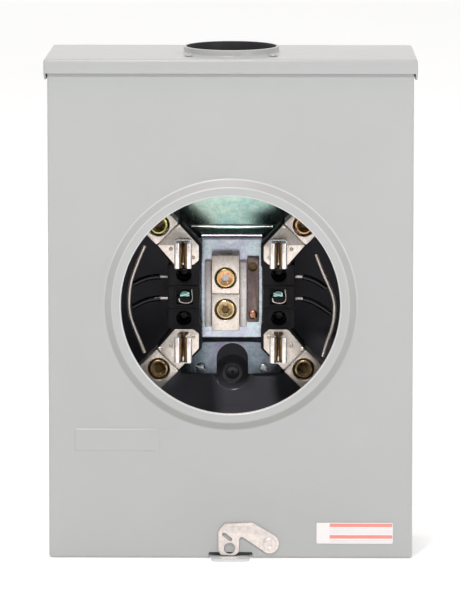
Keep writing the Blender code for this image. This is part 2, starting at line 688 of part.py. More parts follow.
def set_screw(name, place, radius, length, travel_axis="y"):
    """Headless screw with a hexagon socket; place is the middle of its front face."""
    x, y, z = place
    screw = rod(name, place, length, radius, travel_axis, BRASS, sides=20)
    socket = rod("hex_socket", (x, y - 2 * MM, z), 6.5 * MM, radius * 0.47, cutter=True,
                 sides=6)
    lead_in = rod("lead_in", (x, y - 0.5 * MM, z), 1.6 * MM, radius * 0.78, cutter=True,
                  end_radius=radius * 0.5)
    return cut(screw, socket, lead_in)


def make_jaw(side, sign, level_name, level):
    """Two sprung leaves with a flared mouth for one meter blade."""
    back = PLATE_FRONT - GAP
    half_section = [(0, back), (5.2 * MM, back), (5.2 * MM, back - 6 * MM),
                    (3.6 * MM, -92 * MM), (6.0 * MM, JAW_FRONT + 0.4 * MM), (5.2 * MM, JAW_FRONT),
                    (1.5 * MM, -92.2 * MM), (1.9 * MM, back - 6 * MM), (0, back - 4.5 * MM)]
    section = half_section + [(-x, y) for x, y in reversed(half_section[1:-1])]
    centre_x, centre_z = sign * JAW_OFFSET, SOCKET_Z + level * JAW_OFFSET
    return plate(f"jaw_{level_name}_{side}", shifted(section, centre_x, 0), centre_z,
                 19.6 * MM, ON_TOP, NICKEL)


def make_jaw_clip(side, sign, level_name, level):
    """Spring staple that squeezes the leaves, bridged over the jaw's outer end."""
    arm_in, arm_out = 5.6 * MM, 6.6 * MM
    low, inside, top = -7 * MM, 10.4 * MM, 11.5 * MM
    points = [(-arm_out, low), (-arm_in, low), (-arm_in, inside), (arm_in, inside),
              (arm_in, low), (arm_out, low), (arm_out, top), (-arm_out, top)]
    centre = (sign * JAW_OFFSET, SOCKET_Z + level * JAW_OFFSET)
    points = mirrored(points, 1, level)
    return plate(f"jaw_clip_{level_name}_{side}", shifted(points, *centre), -85.5 * MM,
                 7 * MM, material=ZINC)


NEUTRAL_X = -4.7 * MM
NEUTRAL_FRONT = -48.0 * MM
NEUTRAL_SCREW_Z = 12.3 * MM


def make_neutral_terminal():
    """Two-barrel neutral block between its side rails."""
    back = PLATFORM_Y - GAP
    block = box("neutral_terminal", (NEUTRAL_X - 10.75 * MM, NEUTRAL_FRONT,
                                     SOCKET_Z - 28.8 * MM),
                (NEUTRAL_X + 10.75 * MM, back, SOCKET_Z + 30.2 * MM), TIN)
    rails = box("neutral_rails", (NEUTRAL_X - 16.2 * MM, NEUTRAL_FRONT + 9 * MM,
                                  SOCKET_Z - 27.1 * MM),
                (NEUTRAL_X + 16.2 * MM, back - 0.001 * MM, SOCKET_Z + 23.6 * MM), cutter=True)
    join(block, rails)
    bore_y = NEUTRAL_FRONT + 9.5 * MM
    cut(block, rod("neutral_bore", (NEUTRAL_X, bore_y, SOCKET_Z - 40 * MM), 80 * MM, 5.6 * MM,
                   "z", cutter=True))
    for level in (-1, 1):
        z = SOCKET_Z + level * NEUTRAL_SCREW_Z
        cut(block, rod("neutral_screw_hole", (NEUTRAL_X, NEUTRAL_FRONT - 5 * MM, z),
                       bore_y - NEUTRAL_FRONT + 5 * MM, 8.2 * MM, cutter=True))
    return block


def make_bond_bar():
    """Strap from the neutral to the case, with a spare hole and a bonding screw."""
    back = PLATFORM_Y - GAP
    centre = 16.5 * MM
    bar = box("bond_bar", (centre - 4.6 * MM, back - 5 * MM, SOCKET_Z - 24 * MM),
              (centre + 4.6 * MM, back, SOCKET_Z + 27 * MM), COPPER)
    for z, radius in ((19.5, 3.5), (-18.0, 2.3)):
        cut(bar, rod("bond_hole", (centre, back - 9 * MM, SOCKET_Z + z * MM), 15 * MM,
                     radius * MM, cutter=True))
    seat = back - 5 * MM - GAP
    slotted_screw("bond_screw", (centre, seat, SOCKET_Z - 18 * MM), 3.5 * MM, 2.0 * MM,
                  4.8 * MM, COPPER, head=2.0 * MM, turn=radians(60))
    return bar


BAIL_Y = -53.0 * MM


BAIL_PATHS = {
    "left": [(67.2, 38.5), (73.2, 24), (77.9, 10), (79.4, -3), (78.8, -14.5), (74.4, -28),
             (70.5, -37.5), (67.4, -45.5)],
    "right": [(65.5, 32), (70.5, 19), (76.3, 5.6), (79.2, -3), (79.7, -15.5), (77.8, -26),
              (74.0, -37), (70.8, -48)],
}
ARM_PATHS = {
    "upper": {"left": [(49.4, 14.4), (55, 14.4), (61, 13.9), (68, 12.2), (75.2, 8.8)],
              "right": [(49.4, 14.4), (55, 14.3), (62, 12.4), (67.5, 9.6), (71.4, 6.9)]},
    "lower": {"left": [(49.4, -2.6), (55, -2.6), (61, -3.2), (68, -5.2), (76.2, -9.2)],
              "right": [(49.4, -2.6), (55, -2.8), (62, -4.8), (69, -8.6), (76.4, -13.6)]},
}


def make_guide_bail(side, sign):
    """Bent steel rod that keeps the wires out to the side of the socket."""
    points = [(sign * x * MM, BAIL_Y, SOCKET_Z + z * MM) for x, z in BAIL_PATHS[side]]
    return wire(f"guide_bail_{side}", points, 1.5 * MM, STEEL, steps=2)


def make_bail_arm(side, sign, level_name):
    """Sleeved arm between the block and the bail."""
    points = [(sign * x * MM, BAIL_Y, SOCKET_Z + z * MM)
              for x, z in ARM_PATHS[level_name][side]]
    return wire(f"bail_arm_{level_name}_{side}", points, 2.25 * MM, RUBBER, steps=3)


# ---------------------------------------------------------------- assembly
def build():
    make_back_and_sides()
    make_knockouts()
    make_bottom_wall()
    make_padlock_tab()
    make_top_cap()
    make_hub_screws()
    make_cover()
    make_rating_label()
    make_latch()
    make_latch_rivet()
    make_support_bracket()
    make_bracket_screws()
    make_block_screws()
    make_tap_screws()
    make_neutral_terminal()
    make_bond_bar()
    for side, sign in SIDES:
        make_insulator_block(side, sign)
        make_guide_bail(side, sign)
        for level_name, level in LEVELS:
            make_terminal(side, sign, level_name, level)
            make_jaw(side, sign, level_name, level)
            make_jaw_clip(side, sign, level_name, level)
            make_bail_arm(side, sign, level_name)
            place = (sign * LUG_SCREW_OFFSET, LUG_FRONT + 0.6 * MM,
                     SOCKET_Z + level * LUG_SCREW_OFFSET)
            set_screw(f"lug_screw_{level_name}_{side}", place, 7.6 * MM, 8 * MM)
    for level_name, level in LEVELS:
        place = (NEUTRAL_X, NEUTRAL_FRONT + 0.4 * MM, SOCKET_Z + level * NEUTRAL_SCREW_Z)
        set_screw(f"neutral_screw_{level_name}", place, 7.7 * MM, 5.0 * MM)


build()
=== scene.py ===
"""Looks of a ringless meter socket enclosure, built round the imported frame.

Metres, +Z up, the cover facing -Y. Every piece takes its place from the frame's boxes.
"""
import json
from math import cos, radians, sin, sqrt

import bmesh
import bpy
from mathutils import Matrix, Vector


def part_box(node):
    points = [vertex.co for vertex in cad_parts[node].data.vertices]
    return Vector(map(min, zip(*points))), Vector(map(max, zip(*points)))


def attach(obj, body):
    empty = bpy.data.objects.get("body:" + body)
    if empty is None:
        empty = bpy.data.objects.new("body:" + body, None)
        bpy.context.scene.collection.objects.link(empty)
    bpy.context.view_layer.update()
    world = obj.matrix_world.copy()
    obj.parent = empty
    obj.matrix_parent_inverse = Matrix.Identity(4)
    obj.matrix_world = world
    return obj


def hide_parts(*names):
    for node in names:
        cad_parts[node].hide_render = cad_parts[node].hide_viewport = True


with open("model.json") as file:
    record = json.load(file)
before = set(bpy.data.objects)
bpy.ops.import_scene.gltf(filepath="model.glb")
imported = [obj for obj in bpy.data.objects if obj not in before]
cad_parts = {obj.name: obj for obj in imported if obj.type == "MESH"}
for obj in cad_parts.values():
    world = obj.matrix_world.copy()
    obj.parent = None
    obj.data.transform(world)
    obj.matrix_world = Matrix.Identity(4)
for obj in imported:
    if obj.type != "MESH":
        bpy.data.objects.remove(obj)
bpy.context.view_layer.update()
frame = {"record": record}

MM = 0.001
SHEET = 1.5 * MM
BEND = 2.2 * MM               # outer radius of the cover's and the hood's bends
RING_HEIGHT = 5.0 * MM
SIDES = (("left", -1), ("right", 1))
LEVELS = (("upper", 1), ("lower", -1))
DIAGONAL = sqrt(0.5)
UP = Vector((0, 0, 1))
BACK = Vector((0, 1, 0))
FRONT = -BACK
WALL_KNOCKOUTS = ("back_knockout", "side_knockout_left", "side_knockout_right")
BOTTOM_KNOCKOUTS = ("bottom_knockout_center", "bottom_knockout_left", "bottom_knockout_right")
DISH_HEIGHTS = (-65.0 * MM, 150.0 * MM)
PLATFORM_HALF = 23.4 * MM
BLOCK_SCREW_X = 36.7 * MM
BLOCK_SCREW_Z = 17.2 * MM     # above and below the socket's centre
ORANGE_PEEL = 0.05 * MM


# ---------------------------------------------------------------- places from the frame
def low(node):
    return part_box(node)[0]


def high(node):
    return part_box(node)[1]


def span(node):
    """Lowest corner, highest corner and middle of a node's box."""
    return low(node), high(node), (low(node) + high(node)) / 2


def centre(node):
    return span(node)[2]


def front_of(node):
    """Middle of the front of a node's box."""
    return Vector((centre(node).x, low(node).y, centre(node).z))


COVER_Y = low("front_cover").y + RING_HEIGHT
SOCKET_Z = (centre("jaw_upper_left").z + centre("jaw_lower_left").z) / 2


# ---------------------------------------------------------------- materials
class Paint:
    """A material under construction: short calls for the nodes that the finishes share."""

    def __init__(self, name, roughness, metallic=0.0, specular=0.5):
        self.material = bpy.data.materials.new(name)
        self.material.use_nodes = True
        self.tree = self.material.node_tree
        self.shader = self.tree.nodes["Principled BSDF"]
        set_inputs(self.shader, Roughness=roughness, Metallic=metallic,
                   Specular_IOR_Level=specular)
        self.place = self.add("TexCoord").outputs["Object"]

    def add(self, kind, links=(), settings=(), **values):
        """A new node with its links, given as (input, source), its settings and its values."""
        node = self.tree.nodes.new("ShaderNode" + kind)
        for key, value in settings:
            setattr(node, key, value)
        set_inputs(node, **values)
        for name, source in links:
            self.tree.links.new(source, node.inputs[name])
        return node

    def stretched(self, scale):
        """Coordinates stretched for grain that runs one way."""
        return self.add("Mapping", [("Vector", self.place)], Scale=scale).outputs["Vector"]

    def split(self):
        """The place along each axis, by its name."""
        return self.add("SeparateXYZ", [("Vector", self.place)]).outputs

    def ranged(self, source, start, end, **values):
        """A value spread over 0 to 1, or over the To values, between a start and an end."""
        return self.add("MapRange", [("Value", source)], From_Min=start, From_Max=end,
                        **values).outputs["Result"]

    def noise(self, scale, detail=3.0, roughness=0.55, distortion=0.0, place=None):
        return self.add("TexNoise", [("Vector", place or self.place)], Scale=scale, Detail=detail,
                        Roughness=roughness, Distortion=distortion).outputs["Fac"]

    def ramp(self, source, stops, interpolation="LINEAR"):
        """A colour or grey ramp; stops are (position, colour or number)."""
        node = self.add("ValToRGB", [("Fac", source)])
        ramp = node.color_ramp
        ramp.interpolation = interpolation
        while len(ramp.elements) < len(stops):
            ramp.elements.new(0.5)
        for element, (position, colour) in zip(ramp.elements, stops):
            element.position = position
            grey = isinstance(colour, (int, float))
            element.color = (colour, colour, colour, 1) if grey else (*colour, 1)
        return node.outputs["Color"]

    def mix(self, first, second, blend="MULTIPLY"):
        settings = (("data_type", "RGBA"), ("blend_type", blend))
        return self.add("Mix", [("A", first), ("B", second)], settings,
                        Factor=1.0).outputs["Result"]

    def colour(self, source):
        self.tree.links.new(source, self.shader.inputs["Base Color"])

    def roughness(self, source, lowest, highest):
        result = self.ranged(source, 0.3, 0.7, To_Min=lowest, To_Max=highest)
        self.tree.links.new(result, self.shader.inputs["Roughness"])

    def bump(self, source, depth):
        """Surface relief; depth is in metres."""
        node = self.add("Bump", [("Height", source)], Strength=1.0, Distance=depth)
        self.tree.links.new(node.outputs["Normal"], self.shader.inputs["Normal"])


def set_inputs(node, **values):
    """Set a node's inputs; an underscore stands for a space in the input's name."""
    for name, value in values.items():
        node.inputs[name.replace("_", " ")].default_value = value


def powder_coat(name, tone, spread, roughness, specular=0.5):
    """Baked powder coat: orange peel, faint mottling and a few specks of dust."""
    paint = Paint(name, roughness, specular=specular)
    mottle = paint.noise(14, 4)
    shades = [tuple(c * f for c in tone) for f in (1 - spread, 1 + spread)]
    base = paint.ramp(mottle, [(0.32, shades[0]), (0.68, shades[1])])
    specks = paint.ramp(paint.noise(2600, 1.0), [(0.20, 0.90), (0.27, 1.0)])
    paint.colour(paint.mix(base, specks))
    paint.roughness(paint.noise(55, 3), roughness - 0.015, roughness + 0.02)
    paint.bump(paint.noise(620, 2.0, 0.5), ORANGE_PEEL)
    return paint.material


def height_shaded_coat(name, low_tone, high_tone):
    """Grey coat with painted light and shade, whose tone runs from one tone low on the ring to
    another high on it.
    """
    paint = Paint(name, 0.40)
    height = paint.ranged(paint.split()["Z"], SOCKET_Z - 80 * MM, SOCKET_Z + 60 * MM)
    base = paint.ramp(height, [(0.0, low_tone), (1.0, high_tone)])
    mottle = paint.ramp(paint.noise(90, 4), [(0.3, 0.96), (0.7, 1.0)])
    paint.colour(paint.mix(base, mottle))
    paint.roughness(paint.noise(55, 3), 0.34, 0.42)
    paint.bump(paint.noise(620, 2.0, 0.5), ORANGE_PEEL)
    return paint.material


# Where the tones of a clouded finish sit in the clouds, by how many there are.
CLOUD_STOPS = {2: (0.3, 0.7), 3: (0.3, 0.5, 0.7), 4: (0.25, 0.45, 0.60, 0.75)}


def plated(name, tones, scale, rough, spread=0.12, grain=(1, 1, 1), metallic=1.0, at=None):
    """Plated metal: clouded colour, a fine grain and small stains in the gloss."""
    paint = Paint(name, rough, metallic)
    stops = list(zip(at or CLOUD_STOPS[len(tones)], tones))
    clouds = paint.ramp(paint.noise(scale, 5, 0.6, 0.6), stops)
    stain = paint.ramp(paint.noise(scale * 7, 4, 0.65), [(0.30, 0.80), (0.58, 1.0)])
    paint.colour(paint.mix(clouds, stain))
    fine = paint.noise(900, 3, 0.6, place=paint.stretched(grain))
    paint.roughness(fine, rough, rough + spread)
    paint.bump(fine, 0.00002)
    return paint.material


def moulded(name, tone, roughness, depth, specular):
    """Moulded black plastic with flow marks and a fine pebble."""
    paint = Paint(name, roughness, specular=specular)
    flow = paint.noise(60, 4, 0.6, 1.2, place=paint.stretched((1, 1, 0.25)))
    paint.colour(paint.ramp(flow, [(0.3, tuple(c * 0.75 for c in tone)),
                                   (0.7, tuple(c * 1.35 for c in tone))]))
    paint.roughness(paint.noise(300, 3), roughness - 0.08, roughness + 0.10)
    paint.bump(paint.noise(1300, 2), depth)
    return paint.material


def label_stock():
    """White label stock with two plain salmon bands and nothing printed on them."""
    paint = Paint("label_stock_fine", 0.5)
    bottom, top, _ = span("rating_label")
    split = paint.split()
    across = paint.ranged(split["X"], bottom.x, top.x)
    upwards = paint.ranged(split["Z"], bottom.z, top.z)
    columns = paint.ramp(across, [(0.0, 0.0), (0.17, 1.0), (0.99, 0.0)], "CONSTANT")
    rows = paint.ramp(upwards, [(0.0, 0.0), (0.24, 1.0), (0.41, 0.0), (0.79, 1.0), (0.96, 0.0)],
                      "CONSTANT")
    bands = paint.ramp(paint.mix(columns, rows),
                       [(0.0, (0.84, 0.82, 0.81)), (1.0, (0.80, 0.30, 0.25))])
    stops = [(0.0, 1.0)]
    for height in (0.06, 0.14, 0.50, 0.60, 0.70):
        stops += [(height, 0.82), (height + 0.03, 1.0)]
    rules = paint.ramp(upwards, stops, "CONSTANT")
    plain_end = paint.ramp(columns, [(0.0, 1.0), (1.0, 0.0)])
    ruled = paint.mix(rules, plain_end, "LIGHTEN")
    paper = paint.ramp(paint.noise(1500, 3), [(0.3, 0.95), (0.7, 1.0)])
    paint.colour(paint.mix(paint.mix(bands, ruled), paper))
    paint.roughness(paint.noise(400, 3), 0.42, 0.58)
    paint.bump(paint.noise(2200, 2), 0.00001)
    return paint.material


GREY = powder_coat("grey_powder_coat", (0.421, 0.438, 0.432), 0.015, 0.32)
# Lighter grey: a painted highlight on the ring's opening edge and painted light on the padlock
# tab.
LIT_GREY = powder_coat("grey_painted_light", (0.640, 0.652, 0.645), 0.015, 0.28)
# Painted shade on the ring's slope, darker towards the bottom.
SLOPE_SHADE = height_shaded_coat("grey_slope_painted_shade", (0.330, 0.340, 0.326), (0.424, 0.440, 0.434))
# Painted highlight on the ring's bends, lighter towards the top.
BEND_HIGHLIGHT = height_shaded_coat("grey_bend_painted_highlight", (0.395, 0.407, 0.397), (0.560, 0.572, 0.566))
# Painted shade for faces inside the case, under the hood and behind the cover's notch.
INSIDE_SHADE = powder_coat("inner_painted_shade", (0.132, 0.129, 0.150), 0.08, 0.40, 0.12)
# Glossy painted shade for the mounting dishes' inner faces.
GLOSSY_SHADE = powder_coat("glossy_inner_painted_shade", (0.100, 0.098, 0.114), 0.05, 0.20, 0.60)
# Near-black: painted shade inside the hub collar and under it.
SHADE = powder_coat("hub_painted_shade", (0.034, 0.034, 0.036), 0.08, 0.45, 0.20)
ZINC = plated("zinc_passivate", ((0.30, 0.46, 0.50), (0.50, 0.60, 0.62), (0.44, 0.46, 0.56),
                                 (0.66, 0.70, 0.70)), 45, 0.14, at=(0.22, 0.42, 0.58, 0.72))
BRIGHT_ZINC = plated("bright_zinc", ((0.52, 0.66, 0.72), (0.76, 0.80, 0.82), (0.60, 0.66, 0.74)),
                     90, 0.16, metallic=0.6)
TEAL_ZINC = plated("teal_zinc", ((0.24, 0.44, 0.42), (0.36, 0.58, 0.54), (0.52, 0.66, 0.56),
                                 (0.34, 0.50, 0.56)), 30, 0.16)
# Dark zinc: painted shade on the bracket's lower foot.
FOOT_SHADE_ZINC = plated("zinc_painted_foot_shade", ((0.10, 0.15, 0.17), (0.22, 0.26, 0.30), (0.20, 0.18, 0.26),
                                   (0.34, 0.38, 0.40)), 40, 0.16)
# Near-black zinc: painted shade on the block screws deep in their wells.
WELL_SHADE_ZINC = plated("zinc_painted_well_shade", ((0.03, 0.03, 0.035), (0.07, 0.07, 0.08)), 120, 0.34)
PEWTER = plated("pewter_zinc", ((0.36, 0.34, 0.32), (0.56, 0.54, 0.51)), 200, 0.26)
BRONZE = plated("bronze_chromate", ((0.26, 0.17, 0.08), (0.58, 0.42, 0.22)), 150, 0.26)
GOLD = plated("gold_chromate", ((0.62, 0.44, 0.16), (0.90, 0.74, 0.42)), 150, 0.22)
LIME = plated("lime_chromate", ((0.40, 0.44, 0.10), (0.72, 0.70, 0.30)), 150, 0.22)
AMBER = plated("amber_chromate", ((0.62, 0.28, 0.10), (0.86, 0.52, 0.28)), 150, 0.22)
# Dark brown: painted shade in screw sockets, the jaws' slits and the bond strap's hole.
BROWN_SHADE = plated("brown_painted_shade", ((0.07, 0.05, 0.03), (0.20, 0.13, 0.06)), 150, 0.34, 0.14)
COPPER = plated("dull_copper", ((0.20, 0.155, 0.15), (0.32, 0.24, 0.22)), 80, 0.40, 0.15)
COPPER_SCREW = plated("copper_screw_metal", ((0.50, 0.26, 0.16), (0.72, 0.42, 0.26)), 200, 0.30)
# Tan: painted shade on the slopes of the jaws' mouths.
THROAT_SHADE = plated("tin_throat_painted_shade", ((0.46, 0.36, 0.24), (0.68, 0.56, 0.40)), 120, 0.26)
ALONG_Z = (1, 1, 0.15)
TIN = plated("warm_tin", ((0.75, 0.675, 0.60), (0.90, 0.835, 0.765)), 60, 0.30, 0.14, ALONG_Z)
BRIGHT_TIN = plated("bright_tin", ((0.86, 0.81, 0.77), (0.94, 0.90, 0.87)), 60, 0.24,
                    grain=ALONG_Z, metallic=0.6)
# Lighter, less metallic tin: painted light on the recessed neutral rails.
RAIL_LIGHT_TIN = plated("tin_painted_light", ((0.88, 0.84, 0.81), (0.95, 0.92, 0.90)), 60, 0.26,
                   grain=ALONG_Z, metallic=0.2)
STEEL = plated("drawn_steel", ((0.66, 0.59, 0.54), (0.86, 0.79, 0.73)), 120, 0.24,
               grain=(1, 1, 0.1), metallic=0.55)
ROSE_NICKEL = plated("rose_nickel", ((0.80, 0.73, 0.69), (0.86, 0.79, 0.75)), 40, 0.34,
                     grain=(0.2, 1, 1), metallic=0.45)
BLACK = moulded("black_moulding", (0.0045, 0.0045, 0.0055), 0.36, 0.00002, 0.16)
SLEEVE = moulded("black_sleeving", (0.003, 0.003, 0.0035), 0.20, 0.00001, 0.40)
LABEL = label_stock()


# ---------------------------------------------------------------- shape helpers
def arc(middle, radius, start, end, steps):
    """Points of an arc, its angles in degrees."""
    angles = [radians(start + (end - start) * i / steps) for i in range(steps + 1)]
    return [(middle[0] + radius * cos(a), middle[1] + radius * sin(a)) for a in angles]


def circle(middle, radius, steps=48):
    return arc(middle, radius, 0, 360 - 360 / steps, steps - 1)


def slot_outline(middle, half_length, radius, tilt=0.0):
    """A slot with round ends, lying along the first axis before it is tilted."""
    points = [*arc((-half_length, 0), radius, 90, 270, 10),
              *arc((half_length, 0), radius, -90, 90, 10)]
    return [(u * cos(tilt) - v * sin(tilt) + middle[0], u * sin(tilt) + v * cos(tilt) + middle[1])
            for u, v in points]


def mm(*points):
    """Points that are given in millimetres, in metres."""
    return [tuple(c * MM for c in point) for point in points]


def rectangle(u0, u1, v0, v1):
    return [(u0, v0), (u1, v0), (u1, v1), (u0, v1)]


def rounded(points, radius, steps=4):
    """The same outline with its corners rounded."""
    found = []
    vectors = [Vector(p) for p in points]
    for before, corner, after in zip(vectors[-1:] + vectors[:-1], vectors,
                                     vectors[1:] + vectors[:1]):
        back, forward = before - corner, after - corner
        reach = min(radius, 0.45 * back.length, 0.45 * forward.length)
        start = corner + back.normalized() * reach
        end = corner + forward.normalized() * reach
        for i in range(steps + 1):
            t = i / steps
            found.append(tuple((1 - t) ** 2 * start + 2 * t * (1 - t) * corner + t * t * end))
    return found


def strip(path, thickness, bend, steps):
    """Section of a bent sheet: a centre line with its bends rounded, given a thickness."""
    bends = rounded(path, bend, steps)[steps + 1:-steps - 1]
    line = [Vector(p) for p in (path[0], *bends, path[-1])]
    sides = ([], [])
    for i, point in enumerate(line):
        before = line[max(i - 1, 0)]
        after = line[min(i + 1, len(line) - 1)]
        along = (after - before).normalized()
        normal = Vector((-along.y, along.x)) * thickness / 2
        sides[0].append(tuple(point + normal))
        sides[1].append(tuple(point - normal))
    return sides[0] + sides[1][::-1]


def signed_area(points):
    return sum(a[0] * b[1] - b[0] * a[1] for a, b in zip(points, points[1:] + points[:1])) / 2


def moved(points, du, dv):
    return [(u + du, v + dv) for u, v in points]


def flipped(points, sign_u, sign_v):
    return [(u * sign_u, v * sign_v) for u, v in points]


PLANES = {
    "front": Matrix.Rotation(radians(90), 4, "X"),
    "side": Matrix(((0, 0, 1, 0), (1, 0, 0, 0), (0, 1, 0, 0), (0, 0, 0, 1))),
    "top": Matrix.Identity(4),
}


def finish_mesh(obj):
    obj.data.shade_smooth()
    obj.data.set_sharp_from_angle(angle=radians(32))
    return obj


def linked(name, data):
    obj = bpy.data.objects.new(name, data)
    bpy.context.scene.collection.objects.link(obj)
    return obj


def object_from(bm, name, material):
    bmesh.ops.remove_doubles(bm, verts=bm.verts, dist=2e-6)
    bmesh.ops.recalc_face_normals(bm, faces=bm.faces)
    mesh = bpy.data.meshes.new(name)
    bm.to_mesh(mesh)
    bm.free()
    if material:
        mesh.materials.append(material)
    return finish_mesh(linked(name, mesh))


def plate(name, outline, start, end, plane="front", holes=(), edge=0.25 * MM,
          material=None):
    """Flat outline with holes and rounded edges, between two distances on the third axis:
    y on the front plane, x on the side plane and z on the top plane."""
    loops = [outline if signed_area(outline) > 0 else outline[::-1],
             *(hole if signed_area(hole) < 0 else hole[::-1] for hole in holes)]
    bm = drawn(flat_curve(name, loops, extrude=(end - start) / 2 - edge, bevel_depth=edge,
                          bevel_resolution=1, offset=-edge))
    axis = {"front": (0, 1, 0), "side": (1, 0, 0), "top": (0, 0, 1)}[plane]
    bm.transform(Matrix.Translation(Vector(axis) * (start + end) / 2) @ PLANES[plane])
    return object_from(bm, name, material)


def flat_curve(name, loops, **settings):
    """A filled outline of closed loops."""
    curve = bpy.data.curves.new(name, "CURVE")
    curve.dimensions = "2D"
    curve.fill_mode = "BOTH"
    for key, value in settings.items():
        setattr(curve, key, value)
    for loop in loops:
        spline = curve.splines.new("POLY")
        spline.points.add(len(loop) - 1)
        for point, (u, v) in zip(spline.points, loop):
            point.co = (u, v, 0, 1)
        spline.use_cyclic_u = True
    return curve


def drawn(curve):
    """The surface of a curve as a new bmesh."""
    holder = linked(curve.name, curve)
    bm = bmesh_of(holder)
    bpy.data.objects.remove(holder, do_unlink=True)
    return bm


def bmesh_of(obj):
    """The evaluated shape of an object as a new bmesh."""
    bpy.context.view_layer.update()
    graph = bpy.context.evaluated_depsgraph_get()
    mesh = bpy.data.meshes.new_from_object(obj.evaluated_get(graph), depsgraph=graph)
    bm = bmesh.new()
    bm.from_mesh(mesh)
    bpy.data.meshes.remove(mesh)
    return bm


def apply_modifiers(obj):
    bm = bmesh_of(obj)
    obj.modifiers.clear()
    bm.to_mesh(obj.data)
    bm.free()
    finish_mesh(obj)


TURNS = {
    "x": Matrix.Rotation(radians(90), 4, "Y"),
    "y": Matrix.Rotation(radians(-90), 4, "X"),
    "z": Matrix.Identity(4),
}


def turned(name, profile, place, axis="y", material=None, steps=64, closed=False):
    """A turned shape. Profile points are (radius, distance along the axis)."""
    bm = bmesh.new()
    verts = [bm.verts.new((r, 0, h)) for r, h in profile]
    pairs = zip(verts, verts[1:] + (verts[:1] if closed else []))
    edges = [bm.edges.new(pair) for pair in pairs]
    bmesh.ops.spin(bm, geom=verts + edges, cent=(0, 0, 0), axis=(0, 0, 1), angle=radians(360),
                   steps=steps, use_merge=True)
    turn = axis if isinstance(axis, Matrix) else TURNS[axis]
    bm.transform(Matrix.Translation(place) @ turn)
    return object_from(bm, name, material)


def rod(name, start, length, radius, axis="y", material=None, end_radius=None, sides=48):
    """A plain round or tapered bar; most of them cut holes."""
    end_radius = radius if end_radius is None else end_radius
    profile = [(0, 0), (radius, 0), (end_radius, length), (0, length)]
    return turned(name, profile, start, axis, material, sides)


def cuboid(lowest, highest):
    """A box between two corners, as a bmesh."""
    bm = bmesh.new()
    bmesh.ops.create_cube(bm, size=1.0)
    bmesh.ops.scale(bm, vec=Vector(highest) - Vector(lowest), verts=bm.verts)
    bmesh.ops.translate(bm, vec=(Vector(highest) + Vector(lowest)) / 2, verts=bm.verts)
    return bm


def round_bends(bm, edges, radius, steps):
    bmesh.ops.bevel(bm, geom=edges, offset=radius, segments=steps, profile=0.5, affect="EDGES")


def bent_pan(lowest, highest, open_sides, bend, steps):
    """Outer faces of a box that is open on some sides, with its bends rounded."""
    bm = cuboid(lowest, highest)
    gone = [f for f in bm.faces if any(f.normal.dot(side) > 0.9 for side in open_sides)]
    bmesh.ops.delete(bm, geom=gone, context="FACES")
    round_bends(bm, [e for e in bm.edges if len(e.link_faces) == 2], bend, steps)
    return bm


def block(name, lowest, highest, material=None, edge=0.0):
    """A block between two corners, its edges rounded."""
    bm = cuboid(lowest, highest)
    if edge:
        round_bends(bm, bm.edges[:], edge, 2)
    return object_from(bm, name, material)


def cut(obj, *cutters):
    """Cut with other objects, and drop them."""
    for cutter in cutters:
        modifier = obj.modifiers.new("cut", "BOOLEAN")
        modifier.operation = "DIFFERENCE"
        modifier.solver = "EXACT"
        modifier.object = cutter
    apply_modifiers(obj)
    for cutter in cutters:
        bpy.data.objects.remove(cutter, do_unlink=True)
    return obj


def tube(name, points, radius, material):
    """Round bar along a smooth path, with rounded ends."""
    curve = bpy.data.curves.new(name, "CURVE")
    curve.dimensions = "3D"
    curve.bevel_depth = radius
    curve.bevel_resolution = 6
    curve.use_fill_caps = True
    spline = curve.splines.new("BEZIER")
    spline.bezier_points.add(len(points) - 1)
    for point, place in zip(spline.bezier_points, points):
        point.co = place
        point.handle_left_type = "AUTO"
        point.handle_right_type = "AUTO"
    return object_from(drawn(curve), name, material)


def repaint(obj, *finishes):
    """Give each face the first finish whose test its middle and normal meet."""
    first = len(obj.data.materials)
    for material, _ in finishes:
        obj.data.materials.append(material)
    for face in obj.data.polygons:
        for index, (_, test) in enumerate(finishes, first):
            if test(face.center, face.normal):
                face.material_index = index
                break


def use(piece, slot, *nodes, body="enclosure"):
    """Settle a finished piece: its body and the nodes it stands for; the slot argument is not
    used.
    """
    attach(piece, body)
    if nodes:
        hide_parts(*nodes)
    return piece


# ---------------------------------------------------------------- cover
RING_STEPS = 160


def loft(bm, loops):
    """Faces between closed loops of vertices of the same length."""
    made = [[bm.verts.new(p) for p in loop] for loop in loops]
    for inner, outer in zip(made, made[1:]):
        count = len(inner)
        for i in range(count):
            bm.faces.new((inner[i], inner[(i + 1) % count], outer[(i + 1) % count], outer[i]))
    return made


def fill_with_holes(bm, outline, holes, y):
    """A flat sheet at one y, filled between an outline and holes given as (x, z)."""
    filled = drawn(flat_curve("fill", (outline, *holes)))
    filled.transform(Matrix.Translation((0, y, 0)) @ PLANES["front"])
    mesh = bpy.data.meshes.new("fill")
    filled.to_mesh(mesh)
    filled.free()
    bm.from_mesh(mesh)
    bpy.data.meshes.remove(mesh)


RING_SECTION = ((98.1, 0), (97.4, 0.07), (96.8, 0.32), (96.3, 0.75), (91.3, 4.50),
                (90.9, 4.78), (90.4, 4.95), (89.8, 5.0), (85.7, 5.0), (84.9, 4.86),
                (84.3, 4.50), (83.9, 3.9), (83.8, 3.2), (83.8, 2.2))


